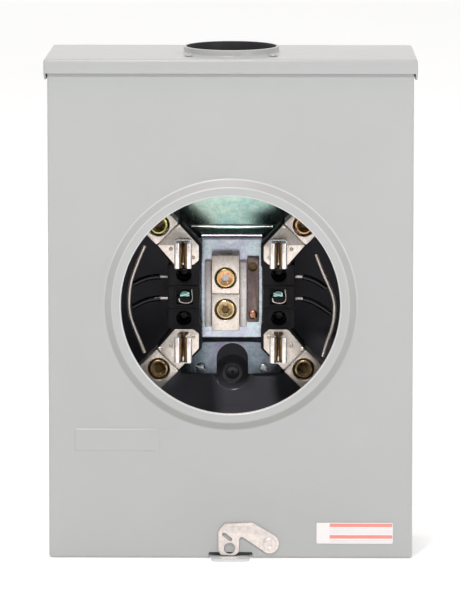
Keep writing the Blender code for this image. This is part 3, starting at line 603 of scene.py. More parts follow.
def make_cover():
    """Pan with rounded bends, a raised ring and a blank raised pad, of one sheet."""
    lowest, highest, _ = span("front_cover")
    z0, y0, y1 = lowest.z, COVER_Y, highest.y
    bm = bent_pan((lowest.x, y0, z0), highest, [BACK, UP], BEND, 5)
    front = max((f for f in bm.faces if f.normal.y < -0.9), key=lambda f: f.calc_area())
    corners = [(v.co.x, v.co.z) for v in front.verts]
    bmesh.ops.delete(bm, geom=[front], context="FACES_ONLY")

    turns = [radians(360 * i / RING_STEPS) for i in range(RING_STEPS)]
    ring_loops = [[(r * MM * cos(a), y0 - h * MM, SOCKET_Z + r * MM * sin(a)) for a in turns]
                  for r, h in RING_SECTION]
    loft(bm, ring_loops)

    pad = rounded(rectangle(-120 * MM, -54 * MM, -110 * MM, -92 * MM), 1.6 * MM, 5)
    middle = Vector((-87 * MM, -101 * MM))
    pad_loops = []
    for inset, rise in ((0, 0), (0.25, 0.10), (0.6, 0.42), (0.95, 0.70), (1.3, 0.8)):
        shrink = Vector((1 - inset * MM / (33 * MM), 1 - inset * MM / (9 * MM)))
        pad_loops.append([(middle.x + (u - middle.x) * shrink.x, y0 - rise * MM,
                           middle.y + (v - middle.y) * shrink.y) for u, v in pad])
    inner = loft(bm, pad_loops)[-1]
    bm.faces.new(inner)

    rivet = centre("latch_rivet")
    holes = [[(px, pz) for px, _, pz in ring_loops[0]], pad,
             circle((rivet.x, rivet.z), 3.0 * MM, 24)]
    fill_with_holes(bm, corners, holes, y0)
    cover = object_from(bm, "cover_shell", GREY)
    outward_from(cover, Vector((0, 0, 0)))
    thicken(cover)
    shade_ring(cover)
    notch = rounded(rectangle(-17 * MM, 17 * MM, z0 - 5 * MM, z0 + 4.5 * MM), 1.5 * MM)
    cut(cover, plate("notch", notch, y0 - 3 * MM, y1 + 5 * MM, edge=0))
    return use(cover, "grey_paint", "front_cover", body="cover")


def shade_ring(cover):
    """Painted highlights on the ring's opening edge and bends, and painted shade on its slope."""
    def between(*bands):
        def test(middle, normal):
            radius = sqrt(middle.x ** 2 + (middle.z - SOCKET_Z) ** 2) / MM
            facing = middle.y <= COVER_Y + 0.1 * MM and normal.y <= 0
            return facing and any(inner < radius < outer for inner, outer in bands)
        return test

    repaint(cover, (LIT_GREY, between((83.6, 84.7))), (SLOPE_SHADE, between((91.2, 96.4))),
            (BEND_HIGHLIGHT, between((90.5, 91.2), (96.4, 97.3))))


def outward_from(obj, inside):
    """Turn the whole surface so that its largest flat face looks away from a point."""
    mesh = obj.data
    face = max(mesh.polygons, key=lambda f: f.area)
    if face.normal.dot(face.center - inside) < 0:
        mesh.flip_normals()


def thicken(obj):
    """Give an outer surface its sheet thickness inwards."""
    solid = obj.modifiers.new("sheet", "SOLIDIFY")
    solid.thickness = SHEET
    solid.offset = -1
    solid.use_even_offset = True
    apply_modifiers(obj)


def make_label():
    lowest, highest, _ = span("rating_label")
    outline = rounded(rectangle(lowest.x, highest.x, lowest.z, highest.z), 1.2 * MM)
    label = plate("label_sheet", outline, lowest.y, highest.y, edge=0.05 * MM, material=LABEL)
    return use(label, "label_stock", "rating_label", body="cover")


LATCH_CORNERS = ((-34.6, 15.5), (-39.2, 9.6), (-39.2, -5.2), (-37.4, -8.9), (-26.4, -9.0),
                 (-23.4, -6.5), (-23.1, 4.2), (-21.7, 5.5), (-19.6, 4.7), (-5.6, -4.9))


def make_latch():
    """Hasp with softened edges, a padlock hole, a seal slot and a lip along its top."""
    pivot = next(Vector(j["pos_m"]) for j in frame["record"]["behaviour"]["joints"]
                 if j["name"] == "latch_swing")
    front, back = low("latch").y, high("latch").y
    outline = rounded(mm(*LATCH_CORNERS, (5.1, 5.8), (-13.1, 16.5)), 1.2 * MM, 3)
    # From the corner by the rivet, the edge follows an arc round the rivet.
    by_rivet = Vector((-5.6 * MM, -4.9 * MM))
    start = min(range(len(outline)), key=lambda i: (Vector(outline[i]) - by_rivet).length)
    outline = outline[:start + 2] + arc((0, 0), 7.4 * MM, -125, 35, 14) + outline[start + 6:]
    holes = [circle((-30.7 * MM, -3.6 * MM), 4.3 * MM), circle((0, 0), 3.0 * MM, 24),
             slot_outline((-32.5 * MM, 5.4 * MM), 3 * MM, 1.5 * MM, radians(-38))]
    place = (pivot.x, pivot.z)
    latch = plate("latch_hasp_plate", moved(outline, *place), front, back,
                  holes=[moved(hole, *place) for hole in holes], edge=0.35 * MM,
                  material=ROSE_NICKEL)
    lip = rounded(rectangle(-31.5 * MM, -14 * MM, 13.9 * MM, 15.3 * MM), 0.6 * MM)
    ridge = plate("latch_lip", moved(lip, *place), front - 0.5 * MM, back - 0.6 * MM,
                  edge=0.4 * MM, material=ROSE_NICKEL)
    use(ridge, "nickel_plate", body="latch_hasp")
    return use(latch, "nickel_plate", "latch", body="latch_hasp")


def make_rivet():
    """Tubular rivet: a low dome with a dished middle, and a rolled tail."""
    end = (high("latch_rivet").y - low("latch_rivet").y) / MM
    profile = mm((0, 0.75), (1.7, 0.72), (2.4, 0.45), (2.8, 0.06), (3.3, 0), (4.2, 0.3),
                 (4.8, 0.75), (5.08, 1.25), (4.95, 1.4), (2.7, 1.4), (2.7, end - 1.2),
                 (4.3, end - 1.2), (4.5, end - 0.8), (4.1, end - 0.15), (3.2, end),
                 (0, end - 0.1))
    rivet = turned("latch_rivet_body", profile, front_of("latch_rivet"), "y", ROSE_NICKEL, 48)
    return use(rivet, "nickel_plate", "latch_rivet", body="cover")


# ---------------------------------------------------------------- case
def make_wrapper():
    """Back and side walls of one bent sheet: grey outside, painted shade inside."""
    lowest, highest, _ = span("back_and_sides")
    half = highest.x - SHEET / 2
    path = [(-half, lowest.y), (-half, -SHEET / 2), (half, -SHEET / 2), (half, lowest.y)]
    case = plate("case_wrapper", strip(path, SHEET, 3 * MM, 6), lowest.z, highest.z, "top",
                 edge=0.2 * MM, material=GREY)
    for z in DISH_HEIGHTS:
        cut(case, rod("dish_room", (0, -5 * MM, z), 8 * MM, 14.65 * MM, sides=96))
    for node in WALL_KNOCKOUTS:
        place, axis, radius = knockout_place(node)
        offset = {"y": Vector((0, 3 * MM, 0)), "x": Vector((3 * MM, 0, 0))}[axis]
        cut(case, rod("knockout_room", place - offset, 8 * MM, radius + 0.3 * MM, axis,
                      sides=72))
    shade_inside(case)
    for name, z in zip(("lower", "upper"), DISH_HEIGHTS):
        make_dish(name, z)
    return use(case, "grey_paint", "back_and_sides")


def shade_inside(obj):
    """Painted shade on the faces that look into the case."""
    reach = high("back_and_sides").x

    def inner(middle, normal):
        inside_back = middle.y < -SHEET * 0.6 and abs(middle.x) < reach - 3 * MM
        inside_side = abs(middle.x) < reach - SHEET * 0.6 and normal.x * middle.x < 0
        return inside_back or inside_side or (normal.y < -0.7 and middle.y > -3 * MM)

    repaint(obj, (INSIDE_SHADE, inner))


def make_dish(name, z):
    """Round mounting dish drawn backwards, with a raised middle and a centre mark."""
    profile = mm((0, 3.9), (0.5, 3.9), (1.3, 2.9), (4.4, 2.9), (5.0, 3.05), (5.5, 3.5), (7.6, 3.5),
                 (8.3, 3.35), (8.9, 2.9), (12.7, -0.75), (13.4, -1.3), (14.6, -1.5), (14.6, 0),
                 (13.7, 0.3), (10.2, 3.9), (9.3, 4.7), (8.4, 5.0), (0, 5.0))
    dish = turned(f"{name}_mounting_dish", profile, (0, 0, z), "y", GREY, 96)
    # The dish's faces inside the case get glossy painted shade.
    repaint(dish, (GLOSSY_SHADE, lambda middle, normal: normal.y < -0.05))
    return use(dish, "grey_paint")


def knockout_place(node):
    """Middle of a knockout's lower face along its axis, the axis and its radius."""
    lowest, highest, place = span(node)
    size = list(highest - lowest)
    index = size.index(min(size))
    place[index] = lowest[index]
    return place, "xyz"[index], max(size) / 2


def make_knockout(node):
    """Disc with softened edges and a scored ring, held in its wall."""
    place, axis, radius = knockout_place(node)
    radius += 0.29 * MM
    inner = radius * 0.72
    groove = ((0, 0), (inner - 0.35 * MM, 0), (inner, 0.3 * MM), (inner + 0.35 * MM, 0),
              (radius - 0.6 * MM, 0), (radius, 0.5 * MM))
    profile = [*groove, *((r, SHEET - depth) for r, depth in reversed(groove))]
    disc = turned(node + "_disc", profile, place, axis, GREY, 72)
    inward = {"bottom": UP, "back": FRONT,
              "side": Vector((-1 if node.endswith("right") else 1, 0, 0))}[node.split("_")[0]]
    # Painted shade on the face that looks into the case.
    repaint(disc, (INSIDE_SHADE, lambda middle, normal: normal.dot(inward) > 0.5))
    return use(disc, "grey_paint", node)


def make_bottom_wall():
    """End wall with upturned flanges and rounded bends."""
    lowest, highest, middle = span("bottom_wall")
    wall = object_from(bent_pan(lowest, highest, [UP, FRONT], 2 * MM, 4), "bottom_end_wall", GREY)
    outward_from(wall, middle)
    thicken(wall)
    for node in BOTTOM_KNOCKOUTS:
        place, axis, radius = knockout_place(node)
        start = place - Vector((0, 0, 3 * MM))
        cut(wall, rod("knockout_room", start, 8 * MM, radius + 0.3 * MM, axis, sides=72))

    # Painted shade on the floor's inside, and a painted shadow on the flange behind the cover's
    # notch.
    def inner(middle, normal):
        behind_notch = abs(middle.x) < 30 * MM and middle.y < -80 * MM
        return normal.z > 0.5 or (behind_notch and normal.z > -0.5)

    repaint(wall, (INSIDE_SHADE, inner))
    return use(wall, "grey_paint", "bottom_wall")


def make_padlock_tab():
    lowest, highest, _ = span("padlock_tab")
    corner = 5 * MM
    half, front, back = highest.x, lowest.y, highest.y
    outline = [(half, back), *arc((half - corner, front + corner), corner, 0, -90, 10),
               *arc((-half + corner, front + corner), corner, -90, -180, 10), (-half, back)]
    slot = slot_outline((0, front + 6.4 * MM), 4 * MM, 3.2 * MM)
    # The tab's lighter grey is painted light.
    tab = plate("padlock_tab_plate", outline, lowest.z, highest.z, "top", holes=[slot],
                edge=0.25 * MM, material=LIT_GREY)
    return use(tab, "grey_paint", "padlock_tab")


def make_top_cap():
    """Rain hood with rounded bends; its hub collar is drawn up from the top."""
    lowest, highest, _ = span("top_cap")
    top = highest.z - 5.5 * MM
    front_half = highest.x
    back_half = front_half - 2.8 * MM
    front = lowest.y
    plan = [(-front_half, front), (front_half, front), (back_half, 0), (-back_half, 0)]
    bm = bmesh.new()
    upper = [bm.verts.new((x, y, top)) for x, y in plan]
    lower = [bm.verts.new((x, y, lowest.z)) for x, y in plan]
    bm.faces.new(upper)
    for a, b in ((0, 1), (1, 2), (3, 0)):
        bm.faces.new((lower[a], lower[b], upper[b], upper[a]))
    round_bends(bm, [e for e in bm.edges if len(e.link_faces) == 2], BEND, 5)
    cap = object_from(bm, "rain_hood", GREY)
    outward_from(cap, Vector((0, 0, 0)))
    thicken(cap)
    lip = top - 11 * MM
    relief = [(front - 5 * MM, lip), (front + 2 * MM, lip), (front + 10 * MM, lowest.z),
              (front + 10 * MM, lowest.z - 5 * MM), (front - 5 * MM, lowest.z - 5 * MM)]
    cut(cap, plate("lip_relief", relief, -0.2, 0.2, "side", edge=0))
    hub = Vector((0, centre("hub_screw_1").y / 2 + centre("hub_screw_3").y / 2, top))
    cut(cap, rod("hub_room", hub - Vector((0, 0, 10 * MM)), 20 * MM, 36.0 * MM, "z", sides=96))

    # Painted shade under the hood's top and on faces that look inward.
    def inner(middle, normal):
        under = normal.z < -0.5 and middle.z > top - 3 * MM
        return under or normal.y > 0.5 or normal.x * middle.x < -0.5 * abs(middle.x)

    repaint(cap, (INSIDE_SHADE, inner))
    collar = mm((38.4, -0.05), (37.5, 0.2), (36.9, 0.8), (36.7, 1.6), (36.7, 4.9), (36.4, 5.35),
                (35.9, 5.5), (35.2, 5.5), (34.7, 5.3), (34.5, 4.8), (34.5, -1.0), (34.9, -1.55),
                (35.6, -1.8), (38.4, -1.7))
    ring = turned("hub_collar_ring", collar, hub, "z", GREY, 128, closed=True)
    cut(ring, *[rod("screw_room", Vector((*centre(f"hub_screw_{i}").xy, top - 8 * MM)),
                    16 * MM, 2.0 * MM, "z") for i in range(1, 5)])

    # Painted shade on the collar's bore and underside.
    def bore(middle, normal):
        outwards = (middle - hub) * Vector((1, 1, 0))
        return normal.dot(outwards) < -0.5 * outwards.length or normal.z < -0.5

    repaint(ring, (SHADE, bore))
    use(ring, "grey_paint")
    return use(cap, "grey_paint", "top_cap")


# ---------------------------------------------------------------- fasteners
def thread(start, pitch, turns, *points):
    """Profile of a thread; each turn repeats points of (radius, part of the pitch)."""
    return [(radius, start + (turn + part) * pitch)
            for turn in range(turns) for radius, part in points]


def pan_screw(name, seat, radius, head, shank_radius, length, material, turn):
    """Pan-head slotted screw. The head stands off the seat towards the front."""
    profile = [(0, -head), (radius * 0.45, -head * 0.98), (radius * 0.75, -head * 0.86),
               (radius * 0.93, -head * 0.58), (radius, -head * 0.25), (radius * 0.985, 0),
               (shank_radius, 0)]
    turns = max(int(length / (0.8 * MM)), 1)
    profile += thread(0, length / turns, turns, (shank_radius, 0.25), (shank_radius * 0.84, 0.75))
    profile += [(shank_radius * 0.8, length), (0, length)]
    screw = turned(name, profile, seat, "y", material, 48)
    slot = slot_cutter(2 * radius, radius, 0.42 * MM, seat + FRONT * (head + radius * 0.62), turn)
    return cut(screw, slot)


def slot_cutter(half_length, depth, half_width, place, turn):
    """Cutter for a driver's slot in a head that faces the front."""
    slot = block("slot", (-half_length, -depth, -half_width), (half_length, depth, half_width))
    slot.matrix_world = Matrix.Translation(place) @ Matrix.Rotation(turn, 4, "Y")
    return slot


def make_hub_screws():
    """Domed screws round the collar, threaded down through the hood."""
    for i in range(1, 5):
        node = f"hub_screw_{i}"
        lowest, highest, middle = span(node)
        seat = highest.z - 1.9 * MM
        profile = [(r * MM, highest.z - fall * MM)
                   for r, fall in ((0, 0), (1.5, 0.08), (2.5, 0.5), (3.05, 1.1), (3.2, 1.8),
                                   (3.1, 1.9), (1.7, 1.9))]
        turns = 8
        profile += thread(seat, (lowest.z - seat) / turns, turns,
                          (1.7 * MM, 0.3), (1.4 * MM, 0.8))
        profile += [(0, lowest.z)]
        screw = turned(f"{node}_body", profile, (middle.x, middle.y, 0), "z", GREY, 40)
        slot = block("slot", (-4 * MM, -0.4 * MM, highest.z - 0.8 * MM),
                     (4 * MM, 0.4 * MM, highest.z + 1 * MM))
        slot.data.transform(Matrix.Rotation(radians(20 + 65 * i), 4, "Z"))
        slot.data.transform(Matrix.Translation((middle.x, middle.y, 0)))
        cut(screw, slot)
        use(screw, "zinc_plate", node)


def make_small_screws():
    """Bracket and block screws, with their heads where the frame has them."""
    # The block screws' near-black zinc is painted shade in their wells.
    kinds = ([(f"bracket_screw_{i}", 3.8 * MM, 2.2 * MM, 2.0 * MM, BRIGHT_ZINC, 25 * i)
              for i in range(1, 5)]
             + [(f"block_screw_{level}_{side}", 4.6 * MM, 2.2 * MM, 2.1 * MM, WELL_SHADE_ZINC, 10)
                for level, _ in LEVELS for side, _ in SIDES]
             + [("bond_screw", 3.5 * MM, 2.0 * MM, 2.0 * MM, COPPER_SCREW, 60)])
    for node, radius, head, shank, material, turn in kinds:
        seat = front_of(node) + BACK * head
        screw = pan_screw(node + "_body", seat, radius, head, shank, high(node).y - seat.y,
                          material, radians(turn))
        slot = "copper_alloy" if node == "bond_screw" else "zinc_plate"
        use(screw, slot, node)


# Bevel, inner slope and floor of each set screw's finish; dark brown on a slope or floor is
# painted shade in the hex socket.
SCREW_FINISHES = {
    "lug_screw_upper_left": (LIME, BROWN_SHADE, BROWN_SHADE),
    "lug_screw_upper_right": (AMBER, BROWN_SHADE, BROWN_SHADE),
    "lug_screw_lower_left": (BRONZE, BROWN_SHADE, BROWN_SHADE),
    "lug_screw_lower_right": (BRONZE, BROWN_SHADE, BROWN_SHADE),
    "neutral_screw_upper": (GOLD, AMBER, PEWTER),
    "neutral_screw_lower": (GOLD, BRONZE, BROWN_SHADE),
}


def make_set_screw(node, body):
    """Headless screw with chamfered threads and a hexagon socket."""
    lowest, highest, middle = span(node)
    radius = (highest.z - lowest.z) / 2
    length = highest.y - lowest.y
    profile = [(0, 0), (radius * 0.80, 0), (radius * 0.90, 0.25 * MM), (radius, 0.9 * MM)]
    pitch = 1.2 * MM
    profile += thread(0.9 * MM, pitch, int((length - 2 * MM) / pitch),
                      (radius, 0.35), (radius * 0.93, 0.8))
    profile += [(radius, length - 0.9 * MM), (radius * 0.9, length), (0, length)]
    # The body starts in dark brown, painted shade, where the rings below leave it.
    screw = turned(node + "_body", profile, front_of(node), "y", BROWN_SHADE, 64)
    hexagon = circle((middle.x, middle.z), radius * 0.44, 6)
    socket = plate("socket", hexagon, lowest.y - 2 * MM, lowest.y + length * 0.6, edge=0)
    lead = rod("lead", front_of(node) + FRONT * 0.5 * MM, 1.7 * MM, radius * 0.88,
               end_radius=radius * 0.40)
    cut(screw, socket, lead)

    def ring(deepest, inner, outer, highest_normal=2):
        def test(point, normal):
            out = Vector((point.x - middle.x, point.z - middle.z)).length / radius
            near = point.y - lowest.y < deepest and inner < out < outer
            return near and normal.y < highest_normal
        return test

    bevel, slope, floor = SCREW_FINISHES[node]
    repaint(screw, (bevel, ring(0.5 * MM, 0.74, 0.96)), (slope, ring(1.3 * MM, -1, 0.76)),
            (floor, ring(length * 0.7, -1, 0.3, -0.9)))
    return use(screw, "brass_chromate", node, body=body)


# ---------------------------------------------------------------- socket
def make_bracket():
    """Hat bracket of bent sheet: feet, a raised platform and wings that carry the blocks."""
    lowest, highest, _ = span("support_bracket")
    t = 2.0 * MM
    foot = highest.y - t / 2
    front = lowest.y + t / 2
    wing = high("insulator_block_left").y + 0.3 * MM + t / 2
    top, bottom, spread = 48.2 * MM, -35.7 * MM, 2.5 * MM
    path = [(foot, highest.z), (foot, top + spread - t / 2), (front, top - t / 2),
            (front, bottom + t / 2), (foot, bottom - spread + t / 2), (foot, lowest.z)]
    bracket = plate("support_bracket_sheet", strip(path, t, 3.5 * MM, 8), lowest.x, highest.x,
                    "side", edge=0.3 * MM, material=ZINC)
    clear = foot - t / 2 - 0.4 * MM
    for _, sign in SIDES:
        beside = [(PLATFORM_HALF, -45 * MM), (PLATFORM_HALF, lowest.y + t), (32 * MM, clear),
                  (60 * MM, clear), (60 * MM, -45 * MM)]
        cut(bracket, plate("beside", flipped(beside, sign, 1), -70 * MM, 70 * MM, "top", edge=0))
        wall = [(PLATFORM_HALF - t / 2, front + 0.4 * MM), (PLATFORM_HALF - t / 2, wing),
                (highest.x, wing)]
        section = flipped(strip(wall, t, 2 * MM, 6), sign, 1)
        piece = plate(f"bracket_wing_{sign}", section, SOCKET_Z - 23 * MM, SOCKET_Z + 23 * MM,
                      "top", edge=0.3 * MM, material=ZINC)
        for _, level in LEVELS:
            start = (sign * BLOCK_SCREW_X, wing - 4 * MM, SOCKET_Z + level * BLOCK_SCREW_Z)
            cut(piece, rod("hole", start, 9 * MM, 2.4 * MM))
        use(piece, "zinc_plate")
    radius = 12.3 * MM
    notch = [*arc((0, -53.3 * MM), radius, 0, 180, 28), (-radius, -80 * MM), (radius, -80 * MM)]
    cut(bracket, plate("notch", notch, -8 * MM, 5 * MM, edge=0))
    for i in range(1, 5):
        middle = centre(f"bracket_screw_{i}")
        cut(bracket, rod("hole", (middle.x, -8 * MM, middle.z), 9 * MM, 2.4 * MM))
    # The lower foot's dark zinc is painted shade.
    repaint(bracket, (TEAL_ZINC, lambda middle, normal: middle.z > top + 1 * MM),
            (FOOT_SHADE_ZINC, lambda middle, normal: middle.z < bottom - 1 * MM))
    return use(bracket, "zinc_plate", "support_bracket")


BLOCK_OUTLINE = ((24.4, -21), (24.4, 21), (22.8, 24), (22.8, 40.6), (38.6, 56.6), (41, 55.4),
                 (57.2, 38.9), (45.8, 25), (49, 25), (49, -25), (45.8, -25), (57.2, -38.9),
                 (41, -55.4), (38.6, -56.6), (22.8, -40.6), (22.8, -24))


def make_block(side, sign):
    """Insulator block with deep screw wells, a framed window and angled arms."""
    node = f"insulator_block_{side}"
    lowest, highest, _ = span(node)
    outline = rounded([(sign * x * MM, z * MM + SOCKET_Z) for x, z in BLOCK_OUTLINE], 1.2 * MM)

    def holes_at_screws(radius, steps):
        return [circle((sign * BLOCK_SCREW_X, SOCKET_Z + level * BLOCK_SCREW_Z), radius, steps)
                for _, level in LEVELS]

    middle = (sign * 36.1 * MM, SOCKET_Z)

    def frame_line(grow, radius):
        sides = rectangle(-6.6 * MM - grow, 6.6 * MM + grow, -6.4 * MM - grow, 6.2 * MM + grow)
        return rounded(moved(sides, *middle), radius)

    front = lowest.y + 1.5 * MM
    floor = lowest.y + 20.8 * MM
    window = frame_line(0, 1.2 * MM)
    foot = moved(flipped(rectangle(24.4 * MM, 49 * MM, -25 * MM, 25 * MM), sign, 1), 0, SOCKET_Z)
    layers = (
        ("face", outline, front, floor + 1 * MM, [*holes_at_screws(5.9 * MM, 48), window], 0.4),
        ("base", rounded(foot, 1.2 * MM), floor, highest.y, holes_at_screws(2.5 * MM, 24), 0.3),
        ("sill", rounded(window, 0.1 * MM, 1), front + 7 * MM, floor + 0.5 * MM, [], 0),
        ("window_rim", frame_line(1.2 * MM, 1.8 * MM), front - 0.5 * MM, front + 1 * MM,
         [frame_line(-0.2 * MM, 1.2 * MM)], 0.3))
    for name, shape, start, end, holes, edge in layers:
        layer = plate(f"{node}_{name}", shape, start, end, holes=holes, edge=edge * MM,
                      material=BLACK)
        use(layer, "black_phenolic", *([node] if name == "face" else []))
    for (level_name, _), height in zip(LEVELS, (7.8 * MM, -10.3 * MM)):
        z = SOCKET_Z + height
        x0, x1 = sorted((sign * 25.2 * MM, sign * 48.2 * MM))
        ridge = block(f"{node}_ridge_{level_name}", (x0, lowest.y, z - 0.7 * MM),
                      (x1, front + 1 * MM, z + 0.7 * MM), BLACK, 0.3 * MM)
        use(ridge, "black_phenolic")


def make_tap_screw(side, sign):
    """Short cheese-head screw in the block's window, with painted shade over its lower half and a
    wire hoop in front.
    """
    node = f"tap_screw_{side}"
    lowest, highest, middle = span(node)
    profile = mm((0, 0), (3.3, 0), (3.8, 0.25), (4.0, 0.7), (4.0, 2.6), (3.8, 3.0), (0, 3.0))
    screw = turned(node + "_body", profile, front_of(node), "y", TEAL_ZINC)
    cut(screw, slot_cutter(5 * MM, 1.3 * MM, 0.5 * MM, front_of(node), radians(sign * 28)))
    # A black block over the lower half of the head is painted shade.
    painted_shade_block = block(node + "_shroud", (middle.x - 6.5 * MM, lowest.y - 0.8 * MM,
                                      SOCKET_Z - 6.3 * MM),
                   (middle.x + 6.5 * MM, highest.y, SOCKET_Z - 0.4 * MM), BLACK, 0.4 * MM)
    use(painted_shade_block, "black_phenolic")
    hoop = [(5.5, 5.2), (5.6, -3.6), (4.4, -4.8), (-2.6, -4.8), (-4.0, -3.8), (-4.2, -1.6)]
    path = [(middle.x + u * MM, lowest.y - 1.4 * MM, SOCKET_Z + v * MM) for u, v in hoop]
    use(tube(node + "_hoop", path, 0.45 * MM, STEEL), "steel_rod")
    return use(screw, "zinc_plate", node)


def make_terminal(side, sign, level_name, level):
    """Plated plate with dimples and a nub, and the lug block on its outer end."""
    node = f"terminal_{level_name}_{side}"
    lug_front, lug_back = low(node).y, high(node).y
    plate_front = lug_front + 1 * MM
    step, end = 69.3 * MM, 97.0 * MM

    def placed(points):
        return moved(flipped(points, sign, level), 0, SOCKET_Z)

    def along(s, t):
        return ((s - t) * DIAGONAL, (s + t) * DIAGONAL)

    def band(start, stop, half):
        return [along(s, t) for s, t in rectangle(start, stop, -half, half)]

    corners = [*mm((43.7, 25.2), (29, 25.2), (25, 28.7), (25, 40)),
               along(step - 0.3 * MM, 11.6 * MM), along(step - 0.3 * MM, -11.6 * MM)]
    base = plate(node + "_plate", placed(rounded(corners, 1.0 * MM)), plate_front,
                 plate_front + 3 * MM, edge=0.4 * MM, material=TIN)
    use(base, "tin_plate", node)
    tongue = plate(node + "_tongue", placed(band(step - 3 * MM, step + 3 * MM, 10 * MM)),
                   plate_front + 2.2 * MM, plate_front + 4 * MM, material=TIN)
    use(tongue, "tin_plate")

    lug = plate(node + "_lug", placed(rounded(band(step + 0.2 * MM, end, 12 * MM), 1.6 * MM)),
                lug_front, lug_back, edge=0.6 * MM, material=TIN)
    direction = Vector((sign, 0, level)).normalized()
    turn = Vector((0, 0, 1)).rotation_difference(direction).to_matrix().to_4x4()
    start = Vector((0, lug_front + 17.5 * MM, SOCKET_Z)) + direction * (step + 2 * MM)
    screw = centre(f"lug_screw_{level_name}_{side}")
    well = turned("well", mm((0, -5), (9, -5), (9, 0), (8.2, 0.8), (8.2, 17.5), (0, 17.5)),
                  (screw.x, lug_front, screw.z), "y")
    cut(lug, rod("bore", start, 40 * MM, 8.0 * MM, turn), well)
    use(lug, "tin_plate")

    bumps = [along(step - 1.6 * MM, level * 10.2 * MM), *mm((46.5, 37.5), (29.2, 31.0))]
    for index, (place, radius) in enumerate(zip(placed(bumps), (1.9, 1.5, 1.5))):
        r = radius * MM
        dish = -0.15 * MM if index else -0.8 * MM
        dome = [(0, dish), (r * 0.35, dish), (r * 0.62, -0.65 * MM), (r * 0.85, -0.4 * MM),
                (r, 0.2 * MM), (0, 0.3 * MM)]
        dimple = turned(f"{node}_dimple_{index}", dome, (place[0], plate_front, place[1]), "y",
                        TIN, 32)
        use(dimple, "tin_plate")


def make_jaw(side, sign, level_name):
    """Two formed leaves with flared lips, on a folded base."""
    node = f"jaw_{level_name}_{side}"
    lowest, highest, middle = span(node)
    back, front = highest.y, lowest.y
    t = 1.1 * MM
    leaf = [(0.2 * MM, back - 0.6 * MM), (4.5 * MM, back - 0.6 * MM), (4.5 * MM, back - 6 * MM),
            (1.05 * MM, front + 7 * MM), (1.05 * MM, front + 5 * MM),
            (2.7 * MM, front + 1.2 * MM), (3.6 * MM, front + t / 2),
            (5.5 * MM, front + t / 2), (6.2 * MM, front + 2 * MM)]

    def throat(point, normal):
        return abs(point.x - middle.x) < 2.5 * MM and point.y < front + 4.6 * MM

    def deep_throat(point, normal):
        return abs(point.x - middle.x) < 3.0 * MM

    for name, flip in (("inner", -1), ("outer", 1)):
        section = strip(leaf, t, 0.9 * MM, 5)
        section = [(u * flip * sign + middle.x, v) for u, v in section]
        piece = plate(f"{node}_{name}_leaf", section, lowest.z, highest.z, "top",
                      edge=0.25 * MM, material=BRIGHT_TIN)
        # Painted shade in the mouth: tan on its slopes, dark brown deep in the slit.
        repaint(piece, (THROAT_SHADE, throat), (BROWN_SHADE, deep_throat))
        use(piece, "nickel_plate", *([node] if name == "outer" else []))


def make_clip(side, level_name, level):
    """Spring staple over the outer end of the leaves."""
    node = f"jaw_clip_{level_name}_{side}"
    lowest, highest, middle = span(node)
    t = 1.0 * MM
    half = highest.x - middle.x - t / 2
    open_end, bridge = lowest.z, highest.z - t / 2
    if level < 0:
        open_end, bridge = highest.z, lowest.z + t / 2
    path = [(-half, open_end), (-half, bridge), (half, bridge), (half, open_end)]
    section = moved(strip(path, t, 1.4 * MM, 5), middle.x, 0)
    clip = plate(node + "_spring", section, lowest.y, highest.y, edge=0.2 * MM,
                 material=BRIGHT_ZINC)
    return use(clip, "zinc_plate", node)


def make_neutral():
    """Two barrels end to end between side rails, with bores and screw wells."""
    lowest, highest, middle = span("neutral_terminal")
    half = 10.75 * MM
    bore_y = lowest.y + 9.5 * MM
    split = 0.25 * MM
    for level_name, level in LEVELS:
        z0, z1 = sorted((SOCKET_Z + level * split,
                         highest.z if level > 0 else lowest.z))
        barrel = block(f"neutral_barrel_{level_name}", (middle.x - half, lowest.y, z0),
                       (middle.x + half, highest.y, z1), TIN, 0.5 * MM)
        screw = centre(f"neutral_screw_{level_name}")
        well = turned("well", mm((0, -5), (8.8, -5), (8.8, 0), (8.2, 0.6), (8.2, 9.5), (0, 9.5)),
                      (screw.x, lowest.y, screw.z), "y")
        bore = rod("bore", (middle.x, bore_y, SOCKET_Z - 40 * MM), 80 * MM, 5.6 * MM, "z")
        cut(barrel, well, bore)
        use(barrel, "tin_plate", *(["neutral_terminal"] if level > 0 else []))
    # The rails' lighter tin is painted light.
    for side, sign in SIDES:
        x0, x1 = sorted((middle.x + sign * (half + 0.35 * MM), middle.x + sign * 16.2 * MM))
        rail = block(f"neutral_rail_{side}", (x0, lowest.y + 9 * MM, SOCKET_Z - 27.1 * MM),
                     (x1, highest.y, SOCKET_Z + 23.6 * MM), RAIL_LIGHT_TIN, 0.5 * MM)
        use(rail, "tin_plate")


def make_bond_bar():
    lowest, highest, middle = span("bond_bar")
    outline = rounded(rectangle(lowest.x, highest.x, lowest.z, highest.z), 1.2 * MM)
    holes_at = SOCKET_Z + 19.5 * MM
    holes = [circle((middle.x, holes_at), 3.5 * MM),
             circle((middle.x, SOCKET_Z - 18 * MM), 2.3 * MM, 24)]
    # A dark disc deep in the upper hole is a painted shadow.
    hole_shadow = rod("bond_strap_hole_painted_shadow", (middle.x, highest.y - 1.6 * MM, holes_at),
                  1.4 * MM, 3.45 * MM, material=BROWN_SHADE)
    use(hole_shadow, "copper_alloy")
    bar = plate("bond_strap", outline, lowest.y, highest.y, holes=holes, edge=0.4 * MM,
                material=COPPER)
    return use(bar, "copper_alloy", "bond_bar")


